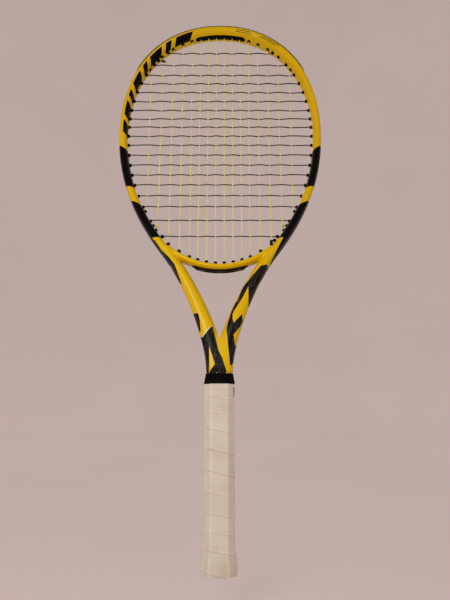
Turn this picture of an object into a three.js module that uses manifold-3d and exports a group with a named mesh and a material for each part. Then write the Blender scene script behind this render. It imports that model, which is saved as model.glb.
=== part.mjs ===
// A full-size tennis racket, standing on its butt: +Z from butt to tip, +X across the head,
// Y through the beam, with the face that is read as the front towards -Y.
// Millimetres, origin at the centre of the butt end.

import * as THREE from "three";
import { mergeVertices } from "three/addons/utils/BufferGeometryUtils.js";
import Module from "manifold-3d";

const wasm = await Module();
wasm.setup();

// ---- driving dimensions

const GAP = 0.3; // clearance between neighbouring pieces

// Outer edge of the right half, seen from the front: tip, widest point, shoulder, shaft, handle.
const LENGTH = 685.8;
const HEAD_HALF = 131.5;
const WIDEST_Z = 525;
const SHOULDER = { x: 70, z: 353 };
const SHAFT = { half: 15.7, z: 214 };
const LEG = { half: 11.5, top: 196, bottom: 10 };

// Beam: [height, width in the plane of the face, depth through the racket].
const BEAM = [
  [LEG.bottom, 20.5, 18.4],
  [LEG.top, 20.5, 18.4],
  [SHAFT.z, 20.5, 22.6],
  [250, 20.5, 23.6],
  [268, 19.4, 24.4],
  [300, 17, 25.4],
  [327, 15, 26],
  [350, 12.4, 26],
  [380, 11.1, 25.6],
  [LENGTH, 11.1, 23],
];
const BEAM_ROUNDNESS = 2.4; // superellipse exponent of the beam's section
const WALL = 1.6;
const FUSE = 0.3; // how far each leg crosses the middle, so that the pair is one piece
const V_TOP = 262; // above this height the two halves are apart
const STATION_STEP = 16;

// Grommet groove along the outer edge of the head, and the bumper's seat at the tip.
const GROOVE = { depth: 3.5, half: 3.4, endZ: 322 };
const BUMPER = { endZ: 606, inset: 1.3, half: 7.4, wing: 1, channel: 2.7 };

// Throat bridge: edges are z = base + square * x^2.
const BRIDGE_TOP = { base: 341, square: 0.0062 };
const BRIDGE_UNDER = { base: 334, square: 0.0052 };
const BRIDGE = { half: 64, depth: 22.5 };

// Strings: 16 mains and 19 crosses. Spacings grow towards the frame.
const STRING_R = 0.65;
const STRING_SIDES = 4;
const WEAVE = 1.7; // how far a cross bows to pass a main
const MAIN_X = [5.4, 16.4, 27.2, 39.4, 52.1, 65.5, 79.9, 96];
const FIRST_CROSS_Z = 649.5;
const CROSS_GAPS = [
  19.5, 16.5, 13.5, 14, 14, 14, 13, 12.5, 13.5, 13.5, 14.5, 14.5, 14.2, 14.2, 15.2, 15.2, 19, 21.6,
];
const CORNER_SHIFT = 4.2; // how far the outermost main's lower hole moves past its neighbour
const BRIDGE_MAINS = 3; // mains of each half that pass through the bridge
const SHOULDER_MAINS = 5; // mains of each half that start on the bridge, these included
const LANE = 1.75; // sideways step of a string that passes another hole in the groove
const LANE_LEAD = 2.4; // along the groove, how far a string takes to step sideways

// Grommets: straps in the groove, under the bridge and inside the tip, with a barrel for each hole.
const HOLE_SIDES = 5;
const HOLE_R = 2.1;
const DRILL = { before: 6, beyond: 3 }; // how far a drill runs past both ends of a hole
const BARREL = { outer: 1.7, bore: 1.2, tip: 1.6 };
const STRAP = { thickness: 0.8, half: 3.05 };
const BRIDGE_STRAP = { half: 34, thickness: 1, halfDepth: 4.4 };
const INNER_STRAP = { half: 34, thickness: 1, halfDepth: 3.8 };
const STRING_GAP = 0.4;
const STRING_DEPTH = GROOVE.depth - GAP - STRAP.thickness - STRING_GAP - STRING_R;
const BEND = 1.4; // how far from a hole's axis its string has turned into the groove
const TURN = 0.9; // how far from a barrel's end a string starts to turn
const KNOT = { bore: 0.95, outer: 1.9, half: 1.7, chamfer: 0.4 };

// Handle: half sizes of the finished octagon and its corner cut. Layers are offsets from it.
const HANDLE = { half: 16.8, halfDepth: 14.9, corner: 7.6, top: 196.8 };
const OVERGRIP_T = 0.6;
const BASE_GRIP = { thickness: 1.5, bottom: 1.6, top: 197.4 };
const FLARE = [
  [0.6, 1.5],
  [2, 2.1],
  [6, 2.75],
  [11, 2.95],
  [16, 1.9],
  [21, 0.7],
  [26, 0],
];
const PALLET = { bottom: 9.5, neckTop: 24.8, top: 198 };
const TUNNEL = { half: [12.2, 9.9], mouth: [12.6, 10.6], corner: 2.6, straightTop: 192 };
const CAP = { top: 24.5, floor: 2.6, chamfer: 0.7, neckStep: 1.2 };
const DOOR = { half: 8.2, halfDepth: 5.6, thickness: 1.8 };
const CLIP = { top: 8, half: 3, width: 1.2, root: 0.4 };
const STAPLE = { half: 5, wire: 0.9, z: 18, tipY: 10.3 };

// Tape and collar: [height, half width, half depth, corner cut] of the outer or inner octagon.
const TAPE = { outer: [[197.9, 15.2, 13.3, 7], [205, 14.2, 11.6, 5]], thickness: 0.6 };
const COLLAR_OUTER = [[197.1, 17.2, 15.3, 7.7], [199.5, 17.2, 15.3, 7.7], [208.5, 15.5, 12.4, 5.6]];
const COLLAR_INNER = [[197.1, 16.2, 14.3, 7.3], [198.5, 15.9, 13.9, 7.2], [205, 14.8, 12.1, 5.3],
  [208.5, 14.9, 11.7, 5]];

// ---- solids

const UP = new THREE.Vector3(0, 1, 0);

function solidOf(geometry) {
  const bare = geometry.clone();
  bare.deleteAttribute("normal");
  bare.deleteAttribute("uv");
  const merged = mergeVertices(bare, 1e-4);
  const mesh = new wasm.Mesh({
    numProp: 3,
    vertProperties: merged.attributes.position.array,
    triVerts: new Uint32Array(merged.index.array),
  });
  return new wasm.Manifold(mesh);
}

function geometryOf(solid) {
  const mesh = solid.getMesh();
  const geometry = new THREE.BufferGeometry();
  geometry.setAttribute("position", new THREE.BufferAttribute(mesh.vertProperties, 3));
  geometry.setIndex(new THREE.BufferAttribute(mesh.triVerts, 1));
  geometry.computeVertexNormals();
  return geometry;
}

// The triangles that close a flat ring, wound with the ring or against it.
function capOf(contour, withRing) {
  const triangles = THREE.ShapeUtils.triangulateShape(contour, []);
  const area = (corners) => THREE.ShapeUtils.area(corners.map((corner) => contour[corner]));
  const total = triangles.reduce((sum, triangle) => sum + area(triangle), 0);
  const wound = total * THREE.ShapeUtils.area(contour) > 0;
  return wound === withRing ? triangles : triangles.map((triangle) => triangle.reverse());
}

// A closed skin through rings of points. The contours are the first and last ring laid flat.
function loft(rings, firstContour, lastContour) {
  const sides = rings[0].length;
  const last = (rings.length - 1) * sides;
  const index = [];
  for (let start = 0; start < last; start += sides) {
    for (let side = 0; side < sides; side++) {
      const a = start + side;
      const b = start + ((side + 1) % sides);
      index.push(a, b, b + sides, a, b + sides, a + sides);
    }
  }
  index.push(...capOf(firstContour, false).flat());
  index.push(...capOf(lastContour, true).flat().map((corner) => last + corner));
  const geometry = new THREE.BufferGeometry();
  const places = rings.flat().flatMap((point) => point.toArray());
  geometry.setAttribute("position", new THREE.Float32BufferAttribute(places, 3));
  geometry.setIndex(signedVolume(places, index) < 0 ? index.reverse() : index);
  return geometry;
}

function signedVolume(places, index) {
  const corner = (i) => new THREE.Vector3().fromArray(places, index[i] * 3);
  let sum = 0;
  for (let i = 0; i < index.length; i += 3) {
    sum += corner(i).dot(corner(i + 1).cross(corner(i + 2)));
  }
  return sum;
}

function table(rows, at, column = 1) {
  const next = rows.findIndex(([start]) => start >= at);
  if (next < 0) return rows.at(-1)[column];
  if (next === 0) return rows[0][column];
  const [low, high] = [rows[next - 1], rows[next]];
  return THREE.MathUtils.mapLinear(at, low[0], high[0], low[column], high[column]);
}

// A round rod from one point to another.
function rod(from, to, radius, sides) {
  const along = to.clone().sub(from);
  const geometry = new THREE.CylinderGeometry(radius, radius, along.length(), sides);
  geometry.applyQuaternion(new THREE.Quaternion().setFromUnitVectors(UP, along.clone().normalize()));
  geometry.translate(...from.clone().lerp(to, 0.5).toArray());
  return solidOf(geometry);
}

function block(width, depth, height, x, y, z) {
  return solidOf(new THREE.BoxGeometry(width, depth, height).translate(x, y, z));
}

const joined = (solids) => solids.reduce((whole, piece) => whole.add(piece));

// ---- outline of the frame

const outline = new THREE.Path()
  .moveTo(0, LENGTH)
  .bezierCurveTo(83, LENGTH, HEAD_HALF, 617, HEAD_HALF, WIDEST_Z)
  .bezierCurveTo(HEAD_HALF, 448, 103, 397, SHOULDER.x, SHOULDER.z)
  .bezierCurveTo(41, 314.5, 16.6, 246, SHAFT.half, SHAFT.z)
  .bezierCurveTo(SHAFT.half, 206, LEG.half, 208, LEG.half, LEG.top)
  .lineTo(LEG.half, LEG.bottom);
const EDGE_LENGTH = outline.getLength();

// The outer edge at a distance from the tip, with its outward normal, both in the face's plane.
function edgeAt(distance) {
  const share = THREE.MathUtils.clamp(distance / EDGE_LENGTH, 0, 1);
  const point = outline.getPoint(share);
  const ahead = outline.getPoint(Math.min(share + 1e-4, 1));
  const behind = outline.getPoint(Math.max(share - 1e-4, 0));
  const along = ahead.sub(behind).normalize();
  if (share < 1e-4) along.set(1, 0);
  return { distance, x: point.x, z: point.y, nx: -along.y, nz: along.x };
}

// A point at an offset outwards from the edge and a height y through the beam.
function offEdge(edge, offset, y = 0, side = 1) {
  return new THREE.Vector3(side * (edge.x + edge.nx * offset), y, edge.z + edge.nz * offset);
}

// Below the throat's V the two halves meet in the middle.
function beamWidth(edge) {
  const width = table(BEAM, edge.z);
  return edge.z > V_TOP ? width : Math.min(width, (edge.x + FUSE) / edge.nx);
}

const beamDepth = (edge) => table(BEAM, edge.z, 2);
const inGroove = (edge) => edge.z > GROOVE.endZ;
const underBumper = (edge) => edge.z > BUMPER.endZ;

// The distance from the tip at which the inner edge of the head reaches a place along an axis.
function innerEdgeAt(axis, value, from, to) {
  const reach = (distance) => offEdge(edgeAt(distance), -beamWidth(edgeAt(distance)))[axis] - value;
  let [low, high] = [from, to];
  const rising = reach(high) > reach(low);
  for (let step = 0; step < 40; step++) {
    const middle = (low + high) / 2;
    if (reach(middle) > 0 === rising) high = middle;
    else low = middle;
  }
  return (low + high) / 2;
}

function distancesOf(test) {
  const count = Math.ceil(EDGE_LENGTH / STATION_STEP);
  const all = Array.from({ length: count + 1 }, (_, i) => (i / count) * EDGE_LENGTH);
  return all.filter((distance) => test(edgeAt(distance)));
}

const flat = (section) => section.map(([across, y]) => new THREE.Vector2(across, y));

// A solid of the right half that follows the edge: sectionAt gives [offset, y] corners.
function alongEdge(distances, sectionAt) {
  const edges = distances.map(edgeAt);
  const sections = edges.map(sectionAt);
  const rings = sections.map((section, i) => section.map(([offset, y]) => offEdge(edges[i], offset, y)));
  return solidOf(loft(rings, flat(sections[0]), flat(sections.at(-1))));
}

// ---- frame and bridge

const ROUND_ANGLES = [44, 90, 125, 160, 200, 235, 270, 316];

function roundedPoint(degrees, width, depth) {
  const angle = THREE.MathUtils.degToRad(degrees);
  const bend = (value) => Math.sign(value) * Math.abs(value) ** (2 / BEAM_ROUNDNESS);
  return [(bend(Math.cos(angle)) * width) / 2, (bend(Math.sin(angle)) * depth) / 2];
}

function beamSection(edge, grow) {
  const width = beamWidth(edge);
  const depth = beamDepth(edge) + 2 * grow;
  const inset = underBumper(edge) ? BUMPER.inset : 0;
  const floor = inGroove(edge) ? -GROOVE.depth : -inset - 0.02;
  const around = ROUND_ANGLES.map((degrees) => {
    const [across, y] = roundedPoint(degrees, width + 2 * grow, depth);
    return [Math.min(across - width / 2, -inset + grow), y];
  });
  const lip = grow - inset;
  const half = GROOVE.half;
  return [[floor, half], [lip, half], ...around, [lip, -half], [floor, -half]];
}

function hollowSection(edge) {
  const outer = inGroove(edge) ? GROOVE.depth : 0;
  const width = beamWidth(edge) - outer - 2 * WALL;
  const middle = -outer - WALL - width / 2;
  const angles = [35, 90, 145, 215, 270, 325];
  return angles.map((degrees) => {
    const [across, y] = roundedPoint(degrees, width, beamDepth(edge) - 3 * WALL);
    return [middle + across, y];
  });
}

const everywhere = distancesOf(() => true);
const mirrored = (solid) => solid.mirror([1, 0, 0]);

function hairpin(grow) {
  const half = alongEdge(everywhere, (edge) => beamSection(edge, grow));
  return half.add(mirrored(half));
}

const bridgeEdge = (shape, x) => shape.base + shape.square * x ** 2;

function bridgeBar() {
  const rings = [];
  for (let x = -BRIDGE.half; x <= BRIDGE.half; x += BRIDGE.half / 8) {
    const top = bridgeEdge(BRIDGE_TOP, x);
    const under = bridgeEdge(BRIDGE_UNDER, x);
    const ring = [];
    for (let degrees = 0; degrees < 360; degrees += 30) {
      const [across, y] = roundedPoint(degrees, top - under, BRIDGE.depth);
      ring.push(new THREE.Vector3(x, y, (top + under) / 2 + across));
    }
    rings.push(ring);
  }
  const contour = (ring) => ring.map((point) => new THREE.Vector2(point.y, point.z));
  return solidOf(loft(rings, contour(rings[0]), contour(rings.at(-1))));
}

// ---- string holes

const WIDEST_DISTANCE = innerEdgeAt("z", WIDEST_Z, 0, EDGE_LENGTH * 0.5);
const THROAT_DISTANCE = innerEdgeAt("z", SHOULDER.z + 12, WIDEST_DISTANCE, EDGE_LENGTH * 0.7);

// A hole through the head: the string enters at the inner edge and leaves at the groove.
function holeAt(distance, side) {
  const edge = edgeAt(distance);
  return { side, edge, distance, inner: offEdge(edge, -beamWidth(edge), 0, side) };
}

const mirrorX = (point, side) => new THREE.Vector3(side * point.x, point.y, point.z);

// A hole near the bridge's end starts on the bridge and takes the shortest way out.
function shoulderHole(x, side) {
  const inner = new THREE.Vector3(x, 0, bridgeEdge(BRIDGE_TOP, x));
  let nearest = { reach: Infinity };
  for (let distance = WIDEST_DISTANCE; distance < EDGE_LENGTH * 0.72; distance += 0.5) {
    const reach = offEdge(edgeAt(distance), 0).distanceTo(inner);
    if (reach < nearest.reach) nearest = { reach, distance };
  }
  return { side, edge: edgeAt(nearest.distance), distance: nearest.distance, inner: mirrorX(inner, side) };
}

function bridgeHole(x, side) {
  const inner = new THREE.Vector3(side * x, 0, bridgeEdge(BRIDGE_TOP, x));
  return { side, under: bridgeEdge(BRIDGE_UNDER, x), inner };
}

// The outermost main and a cross reach the frame together at the bottom, so that main moves on.
function mainHoles(index, side) {
  const x = MAIN_X[index];
  const top = holeAt(innerEdgeAt("x", x, 0, WIDEST_DISTANCE), side);
  const lowest = () => innerEdgeAt("x", x, WIDEST_DISTANCE, THROAT_DISTANCE + 20);
  const shift = index === MAIN_X.length - 1 ? CORNER_SHIFT : 0;
  let bottom = null;
  if (index < BRIDGE_MAINS) bottom = bridgeHole(x, side);
  else if (index < SHOULDER_MAINS) bottom = shoulderHole(x, side);
  else bottom = holeAt(lowest() + shift, side);
  return { top, bottom };
}

const crossHeights = [FIRST_CROSS_Z];
for (const gap of CROSS_GAPS) crossHeights.push(crossHeights.at(-1) - gap);

function crossHole(index, side) {
  const z = crossHeights[index];
  const [from, to] = z > WIDEST_Z ? [0, WIDEST_DISTANCE] : [WIDEST_DISTANCE, THROAT_DISTANCE];
  return holeAt(innerEdgeAt("z", z, from, to), side);
}

const SIDES = [-1, 1];
const mains = SIDES.map((side) => MAIN_X.map((_, index) => mainHoles(index, side)));
const crosses = crossHeights.map((_, index) => SIDES.map((side) => crossHole(index, side)));

// A tie-off hole lies half way between two holes and brings a string's end back inside.
const between = (hole, next) => holeAt((hole.distance + next.distance) / 2, hole.side);
const firstCross = crosses[0][0];
const lastCross = crosses.at(-1)[1];
const mainTies = mains.map((half, i) => between(crosses.at(-2)[i], half.at(-2).bottom));
const crossTies = [
  between(firstCross, mains[0].at(-1).top),
  between(lastCross, mains[1].at(-3).bottom),
];

const bridgeHoles = mains.flatMap((half) => half.slice(0, BRIDGE_MAINS).map((main) => main.bottom));
const headHoles = [
  ...mains.flatMap((half) => half.map((main) => main.top)),
  ...mains.flatMap((half) => half.slice(BRIDGE_MAINS).map((main) => main.bottom)),
  ...crosses.flat(),
  ...mainTies,
  ...crossTies,
];

// The line of a hole, from before its inner end to beyond the outer edge.
function holeLine(hole, before, beyond) {
  const out = hole.edge
    ? offEdge(hole.edge, 0, 0, hole.side)
    : new THREE.Vector3(hole.inner.x, 0, hole.under);
  const along = out.clone().sub(hole.inner).normalize();
  return [hole.inner.clone().addScaledVector(along, -before), out.addScaledVector(along, beyond)];
}

const rods = (holes, before, beyond, radius) =>
  joined(holes.map((hole) => rod(...holeLine(hole, before, beyond), radius, HOLE_SIDES)));
const drill = (holes, radius) => rods(holes, DRILL.before, DRILL.beyond, radius);

const cavityHalf = alongEdge(everywhere, hollowSection);
const frame = hairpin(0)
  .subtract(cavityHalf.add(mirrored(cavityHalf)))
  .subtract(drill(headHoles, HOLE_R));
const largest = (solid) => solid.decompose().sort((a, b) => b.volume() - a.volume())[0];
const bridge = largest(
  bridgeBar().subtract(hairpin(GAP)).subtract(drill([...bridgeHoles, ...headHoles], HOLE_R)),
);

// ---- grommets

const strapFloor = GROOVE.depth - GAP;
const strapFace = strapFloor - STRAP.thickness;

function barrels(holes, strapMiddle) {
  return rods(holes, BARREL.tip, strapMiddle, BARREL.outer);
}

// A strap with a barrel for each hole, bored through for the strings.
function grommets(strap, holes, strapMiddle) {
  return strap.add(barrels(holes, strapMiddle)).subtract(drill(holes, BARREL.bore));
}

const headMiddle = -(strapFloor + strapFace) / 2;

function bumperSection() {
  const { half, wing, channel } = BUMPER;
  const face = [[0, half], [0, channel], [-strapFace, channel]];
  const back = [[-wing, -half], [-wing, -STRAP.half], [-strapFloor, -STRAP.half]];
  const flip = (points) => points.map(([offset, y]) => [offset, -y]).reverse();
  return [...face, ...flip(face), ...back, ...flip(back)];
}

function strapSection() {
  const h = STRAP.half;
  return [[-strapFloor, h], [-strapFace, h], [-strapFace, -h], [-strapFloor, -h]];
}

const bumperStations = distancesOf(underBumper);
const bumperEnd = bumperStations.at(-1);
const bumperHalf = alongEdge(bumperStations, bumperSection);
const bumperHoles = headHoles.filter((hole) => hole.distance < bumperEnd);
const bumper = grommets(bumperHalf.add(mirrored(bumperHalf)), bumperHoles, headMiddle);

const besideBumper = distancesOf((edge) => !underBumper(edge) && inGroove(edge));
const sideStrapHalf = alongEdge([bumperEnd + GAP, ...besideBumper], strapSection);
const sideHoles = (side) => headHoles.filter((hole) => hole.distance > bumperEnd && hole.side === side);
const sideStrips = SIDES.map((side) =>
  grommets(side > 0 ? sideStrapHalf : mirrored(sideStrapHalf), sideHoles(side), headMiddle),
);

// A curved strap that spans the middle of the head, across X, above or below a curve.
function strapAcross(half, sectionAt) {
  const rings = [];
  for (let x = -half; x <= half; x += half / 6) {
    rings.push(sectionAt(x).map(([z, y]) => new THREE.Vector3(x, y, z)));
  }
  const contour = (x) => flat(sectionAt(x));
  return solidOf(loft(rings, contour(-half), contour(half)));
}

function bridgeStrapSection(x) {
  const top = bridgeEdge(BRIDGE_UNDER, x) - GAP;
  const under = top - BRIDGE_STRAP.thickness;
  const h = BRIDGE_STRAP.halfDepth;
  return [[top, h], [top, -h], [under, -h], [under, h]];
}

function innerStrapSection(x) {
  const distance = innerEdgeAt("x", Math.abs(x), 0, WIDEST_DISTANCE);
  const top = offEdge(edgeAt(distance), -beamWidth(edgeAt(distance))).z - GAP;
  const under = top - INNER_STRAP.thickness;
  const h = INNER_STRAP.halfDepth;
  return [[top, h], [top, -h], [under, -h], [under, h]];
}

const throatStrip = grommets(
  strapAcross(BRIDGE_STRAP.half, bridgeStrapSection),
  bridgeHoles,
  GAP + BRIDGE_STRAP.thickness / 2,
);
const innerStrip = strapAcross(INNER_STRAP.half, innerStrapSection).subtract(drill(headHoles, HOLE_R));

// ---- strings

// A tube through a list of points, with a mitred ring at each.
function tube(points) {
  let across = null;
  const rings = points.map((point, i) => {
    const into = point.clone().sub(points[Math.max(i - 1, 0)]).normalize();
    const out = points[Math.min(i + 1, points.length - 1)].clone().sub(point).normalize();
    const along = into.add(out).normalize();
    if (!across) across = new THREE.Vector3(0, 1, 0);
    across = across.clone().projectOnPlane(along).normalize();
    const third = along.clone().cross(across);
    return Array.from({ length: STRING_SIDES }, (_, side) => {
      const angle = (2 * Math.PI * side) / STRING_SIDES;
      const step = across.clone().multiplyScalar(STRING_R * Math.cos(angle));
      return step.addScaledVector(third, STRING_R * Math.sin(angle)).add(point);
    });
  });
  const polygon = Array.from({ length: STRING_SIDES }, (_, side) => {
    const angle = (2 * Math.PI * side) / STRING_SIDES;
    return new THREE.Vector2(Math.cos(angle), Math.sin(angle));
  });
  return solidOf(loft(rings, polygon, polygon));
}

// A place on the floor of the groove, or under the bridge, where a string lies.
function lying(hole, shift, lane) {
  if (hole.edge) return offEdge(edgeAt(hole.distance + shift), -STRING_DEPTH, lane, hole.side);
  const x = hole.inner.x + shift;
  const clear = GAP + BRIDGE_STRAP.thickness + STRING_GAP + STRING_R;
  return new THREE.Vector3(x, lane, bridgeEdge(BRIDGE_UNDER, x) - clear);
}

// Where a string starts to turn, just clear of the strap.
function holeBottom(hole) {
  const beyond = hole.edge ? -STRING_DEPTH - TURN : GAP + BRIDGE_STRAP.thickness;
  return holeLine(hole, 0, beyond)[1];
}

// Where a string enters a barrel, just inside the head.
const mouth = (hole) => holeLine(hole, BARREL.tip + TURN, 0)[0];

// A string that leaves by one hole and comes back by another.
function outsideLoop(from, to, lane) {
  const start = from.edge ? from.distance : from.inner.x;
  const end = to.edge ? to.distance : to.inner.x;
  const way = Math.sign(end - start);
  const passes = headHoles.some(
    (hole) =>
      from.edge && hole.side === from.side && (hole.distance - start) * (hole.distance - end) < -1,
  );
  const points = [mouth(from), holeBottom(from), lying(from, way * BEND, 0)];
  const lead = BEND + LANE_LEAD;
  const run = Math.abs(end - start) - 2 * lead;
  const steps = Math.ceil(run / 10);
  const firstStep = passes ? 0 : 1;
  for (let step = firstStep; step <= steps - firstStep; step++) {
    points.push(lying(from, way * (lead + (run * step) / steps), passes ? lane : 0));
  }
  return [...points, lying(to, -way * BEND, 0), holeBottom(to), mouth(to)];
}

const MAIN_LANE = -LANE;
const CROSS_LANE = LANE;

const heightShare = (main, z) => (mouth(main.top).z - z) / (mouth(main.top).z - mouth(main.bottom).z);

// The tie-off: round to the tie hole, then in to a knot on a neighbouring main at a given height.
function tied(hole, tie, anchor, z, lane) {
  const knot = mouth(anchor.top).lerp(mouth(anchor.bottom), heightShare(anchor, z));
  const along = mouth(anchor.top).sub(mouth(anchor.bottom)).normalize();
  const back = mouth(tie).sub(knot).normalize();
  const end = knot.clone().addScaledVector(back, KNOT.outer + GAP);
  return { knot, along, points: [...outsideLoop(hole, tie, lane), end] };
}

const belowCross = (row, main) => (crossHeights.at(row) + main.bottom.inner.z) / 2;
const mainKnotZ = belowCross(-2, mains[0].at(-2));
const mainTieOffs = SIDES.map((_, i) =>
  tied(mains[i].at(-1).bottom, mainTies[i], mains[i].at(-2), mainKnotZ, MAIN_LANE),
);
const lastKnotZ = belowCross(-1, mains[1].at(-3));
const firstKnotZ = crossTies[0].inner.z - KNOT.half;
const crossTieOffs = [
  tied(firstCross, crossTies[0], mains[0].at(-2), firstKnotZ, CROSS_LANE),
  tied(lastCross, crossTies[1], mains[1].at(-3), lastKnotZ, CROSS_LANE),
];

// One half of the mains, from the middle outwards: up, over, down, under, up and so on.
function mainHalf(half) {
  const points = [];
  half.slice(0, -1).forEach((main, index) => {
    const end = index % 2 === 0 ? "top" : "bottom";
    points.push(...outsideLoop(main[end], half[index + 1][end], MAIN_LANE));
  });
  return points;
}

function withoutRepeats(points) {
  return points.filter((point, i) => i === 0 || point.distanceTo(points[i - 1]) > 0.01);
}

const [leftMains, rightMains] = mains;
const mainRoute = withoutRepeats([
  ...[...mainTieOffs[0].points].reverse(),
  ...mainHalf(leftMains).reverse(),
  ...outsideLoop(leftMains[0].bottom, rightMains[0].bottom, MAIN_LANE),
  ...mainHalf(rightMains),
  ...mainTieOffs[1].points,
]);

// A cross goes over one main and under the next, starting the other way on each row.
const allMains = [...[...leftMains].reverse(), ...rightMains];

function crossRun(row) {
  const [left, right] = crosses[row].map(mouth);
  const middle = (left.z + right.z) / 2;
  const points = [left];
  allMains.forEach((main, index) => {
    const share = heightShare(main, middle);
    const x = mouth(main.top).lerp(mouth(main.bottom), share).x;
    if (share < 0 || share > 1 || x < left.x + 1 || x > right.x - 1) return;
    const y = (row + index) % 2 === 1 ? WEAVE : -WEAVE;
    points.push(new THREE.Vector3(x, y, THREE.MathUtils.mapLinear(x, left.x, right.x, left.z, right.z)));
  });
  return [...points, right];
}

const crossRoute = [...crossTieOffs[0].points].reverse();
crosses.forEach((pair, row) => {
  const rightwards = row % 2 === 0;
  crossRoute.push(...(rightwards ? crossRun(row) : crossRun(row).reverse()));
  const next = crosses[row + 1];
  const side = rightwards ? 1 : 0;
  if (next) crossRoute.push(...outsideLoop(pair[side], next[side], CROSS_LANE));
});
crossRoute.push(...crossTieOffs[1].points);

function knotOn({ knot, along }) {
  const { bore, outer, half, chamfer } = KNOT;
  const profile = [[bore, -half], [outer - chamfer, -half], [outer, -half + 2 * chamfer],
    [outer, half - 2 * chamfer], [outer - chamfer, half], [bore, half], [bore, -half]];
  const geometry = new THREE.LatheGeometry(profile.map(([r, y]) => new THREE.Vector2(r, y)), 8);
  geometry.applyQuaternion(new THREE.Quaternion().setFromUnitVectors(UP, along));
  return solidOf(geometry.translate(...knot.toArray()));
}

// ---- handle

function octagon([z, half, halfDepth, corner]) {
  const quarter = [[half, halfDepth - corner], [half - corner, halfDepth]];
  const turns = [[1, 1], [-1, 1], [-1, -1], [1, -1]];
  return turns.flatMap(([sx, sy]) => {
    const pair = quarter.map(([x, y]) => new THREE.Vector3(sx * x, sy * y, z));
    return sx * sy > 0 ? pair : pair.reverse();
  });
}

function stack(levels) {
  const rings = levels.map(octagon);
  const contour = (ring) => ring.map((point) => new THREE.Vector2(point.x, point.y));
  return solidOf(loft(rings, contour(rings[0]), contour(rings.at(-1))));
}

// The handle's octagon grown by an amount; a corner cut shrinks less than the flats.
const CORNER_SHARE = 2 - Math.SQRT2;
const handleLevel = (z, grow) => [
  z,
  HANDLE.half + grow,
  HANDLE.halfDepth + grow,
  HANDLE.corner + CORNER_SHARE * grow,
];

// A sleeve of the handle between two heights, flared at the butt; past is its overrun as a cutter.
function sleeve(bottom, top, grow, past = 0) {
  const between = FLARE.map(([z]) => z).filter((z) => z > bottom && z < top);
  const level = (z, at = z) => handleLevel(at, table(FLARE, z) + grow);
  const ends = past ? [level(bottom, bottom - past), level(top, top + past)] : [];
  const levels = [level(bottom), ...between.map((z) => level(z)), level(top)];
  return past ? stack([ends[0], ...levels, ends[1]]) : stack(levels);
}

const gripInner = -(OVERGRIP_T + GAP + BASE_GRIP.thickness);
const palletGrow = gripInner - GAP;
const neckGrow = palletGrow - CAP.neckStep;

const overgrip = sleeve(0.6, HANDLE.top, 0).subtract(sleeve(0.6, HANDLE.top, -OVERGRIP_T, 1));
const baseGrip = sleeve(BASE_GRIP.bottom, BASE_GRIP.top, -OVERGRIP_T - GAP).subtract(
  sleeve(BASE_GRIP.bottom, BASE_GRIP.top, gripInner, 1),
);

function shellOf(outer, inner) {
  const [first, last] = [inner[0], inner.at(-1)];
  const past = (level, by) => [level[0] + by, ...level.slice(1)];
  return stack(outer).subtract(stack([past(first, -1), ...inner, past(last, 1)]));
}

const tapeInner = TAPE.outer.map(([z, half, halfDepth, corner]) => [
  z,
  half - TAPE.thickness,
  halfDepth - TAPE.thickness,
  corner - CORNER_SHARE * TAPE.thickness,
]);
const finishingTape = shellOf(TAPE.outer, tapeInner);
const collar = shellOf(COLLAR_OUTER, COLLAR_INNER);

function staple(grow, facing) {
  const outerY = HANDLE.halfDepth + palletGrow + table(FLARE, STAPLE.z) - 0.1;
  const wire = STAPLE.wire + 2 * grow;
  const crownY = outerY - STAPLE.wire / 2;
  const legLength = outerY - STAPLE.tipY + grow;
  const legY = outerY - legLength / 2;
  const crown = block(2 * STAPLE.half + wire, wire, wire, 0, facing * crownY, STAPLE.z);
  const legs = SIDES.map((side) =>
    block(wire, legLength, wire, side * STAPLE.half, facing * legY, STAPLE.z),
  );
  return joined([crown, ...legs]);
}

const staples = SIDES.map((facing) => staple(0, facing));
const stapleCuts = joined(SIDES.map((facing) => staple(GAP, facing)));

const tunnel = ([half, halfDepth], z) => [z, half, halfDepth, TUNNEL.corner];
const pallet = stack([
  handleLevel(PALLET.bottom, neckGrow),
  handleLevel(PALLET.neckTop, neckGrow),
  handleLevel(PALLET.neckTop + 0.01, palletGrow),
  handleLevel(PALLET.top, palletGrow),
])
  .subtract(
    stack([
      tunnel(TUNNEL.half, PALLET.bottom - 1),
      tunnel(TUNNEL.half, TUNNEL.straightTop),
      tunnel(TUNNEL.mouth, PALLET.top),
      tunnel(TUNNEL.mouth, PALLET.top + 1),
    ]),
  )
  .subtract(stapleCuts);

const capInner = handleLevel(CAP.floor, neckGrow + GAP);
const capTop = [CAP.top + 1, ...capInner.slice(1)];
const capLevels = [CAP.chamfer, 2, 6, 11, 16, 21, CAP.top];
const doorway = block(2 * (DOOR.half + GAP), 2 * (DOOR.halfDepth + GAP), 3 * CAP.floor, 0, 0, 0);
const cap = stack([
  handleLevel(0, table(FLARE, 0) + palletGrow - CAP.chamfer),
  ...capLevels.map((z) => handleLevel(z, table(FLARE, z) + palletGrow)),
])
  .subtract(stack([capInner, capTop]))
  .subtract(doorway)
  .subtract(stapleCuts);

const clipHeight = CLIP.top - DOOR.thickness + CLIP.root;
const clipX = DOOR.half - CLIP.width / 2;
const clips = SIDES.map((side) =>
  block(CLIP.width, 2 * CLIP.half, clipHeight, side * clipX, 0, CLIP.top - clipHeight / 2),
);
const door = joined([
  block(2 * DOOR.half, 2 * DOOR.halfDepth, DOOR.thickness, 0, 0, DOOR.thickness / 2),
  ...clips,
]);

// ---- scene graph

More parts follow.
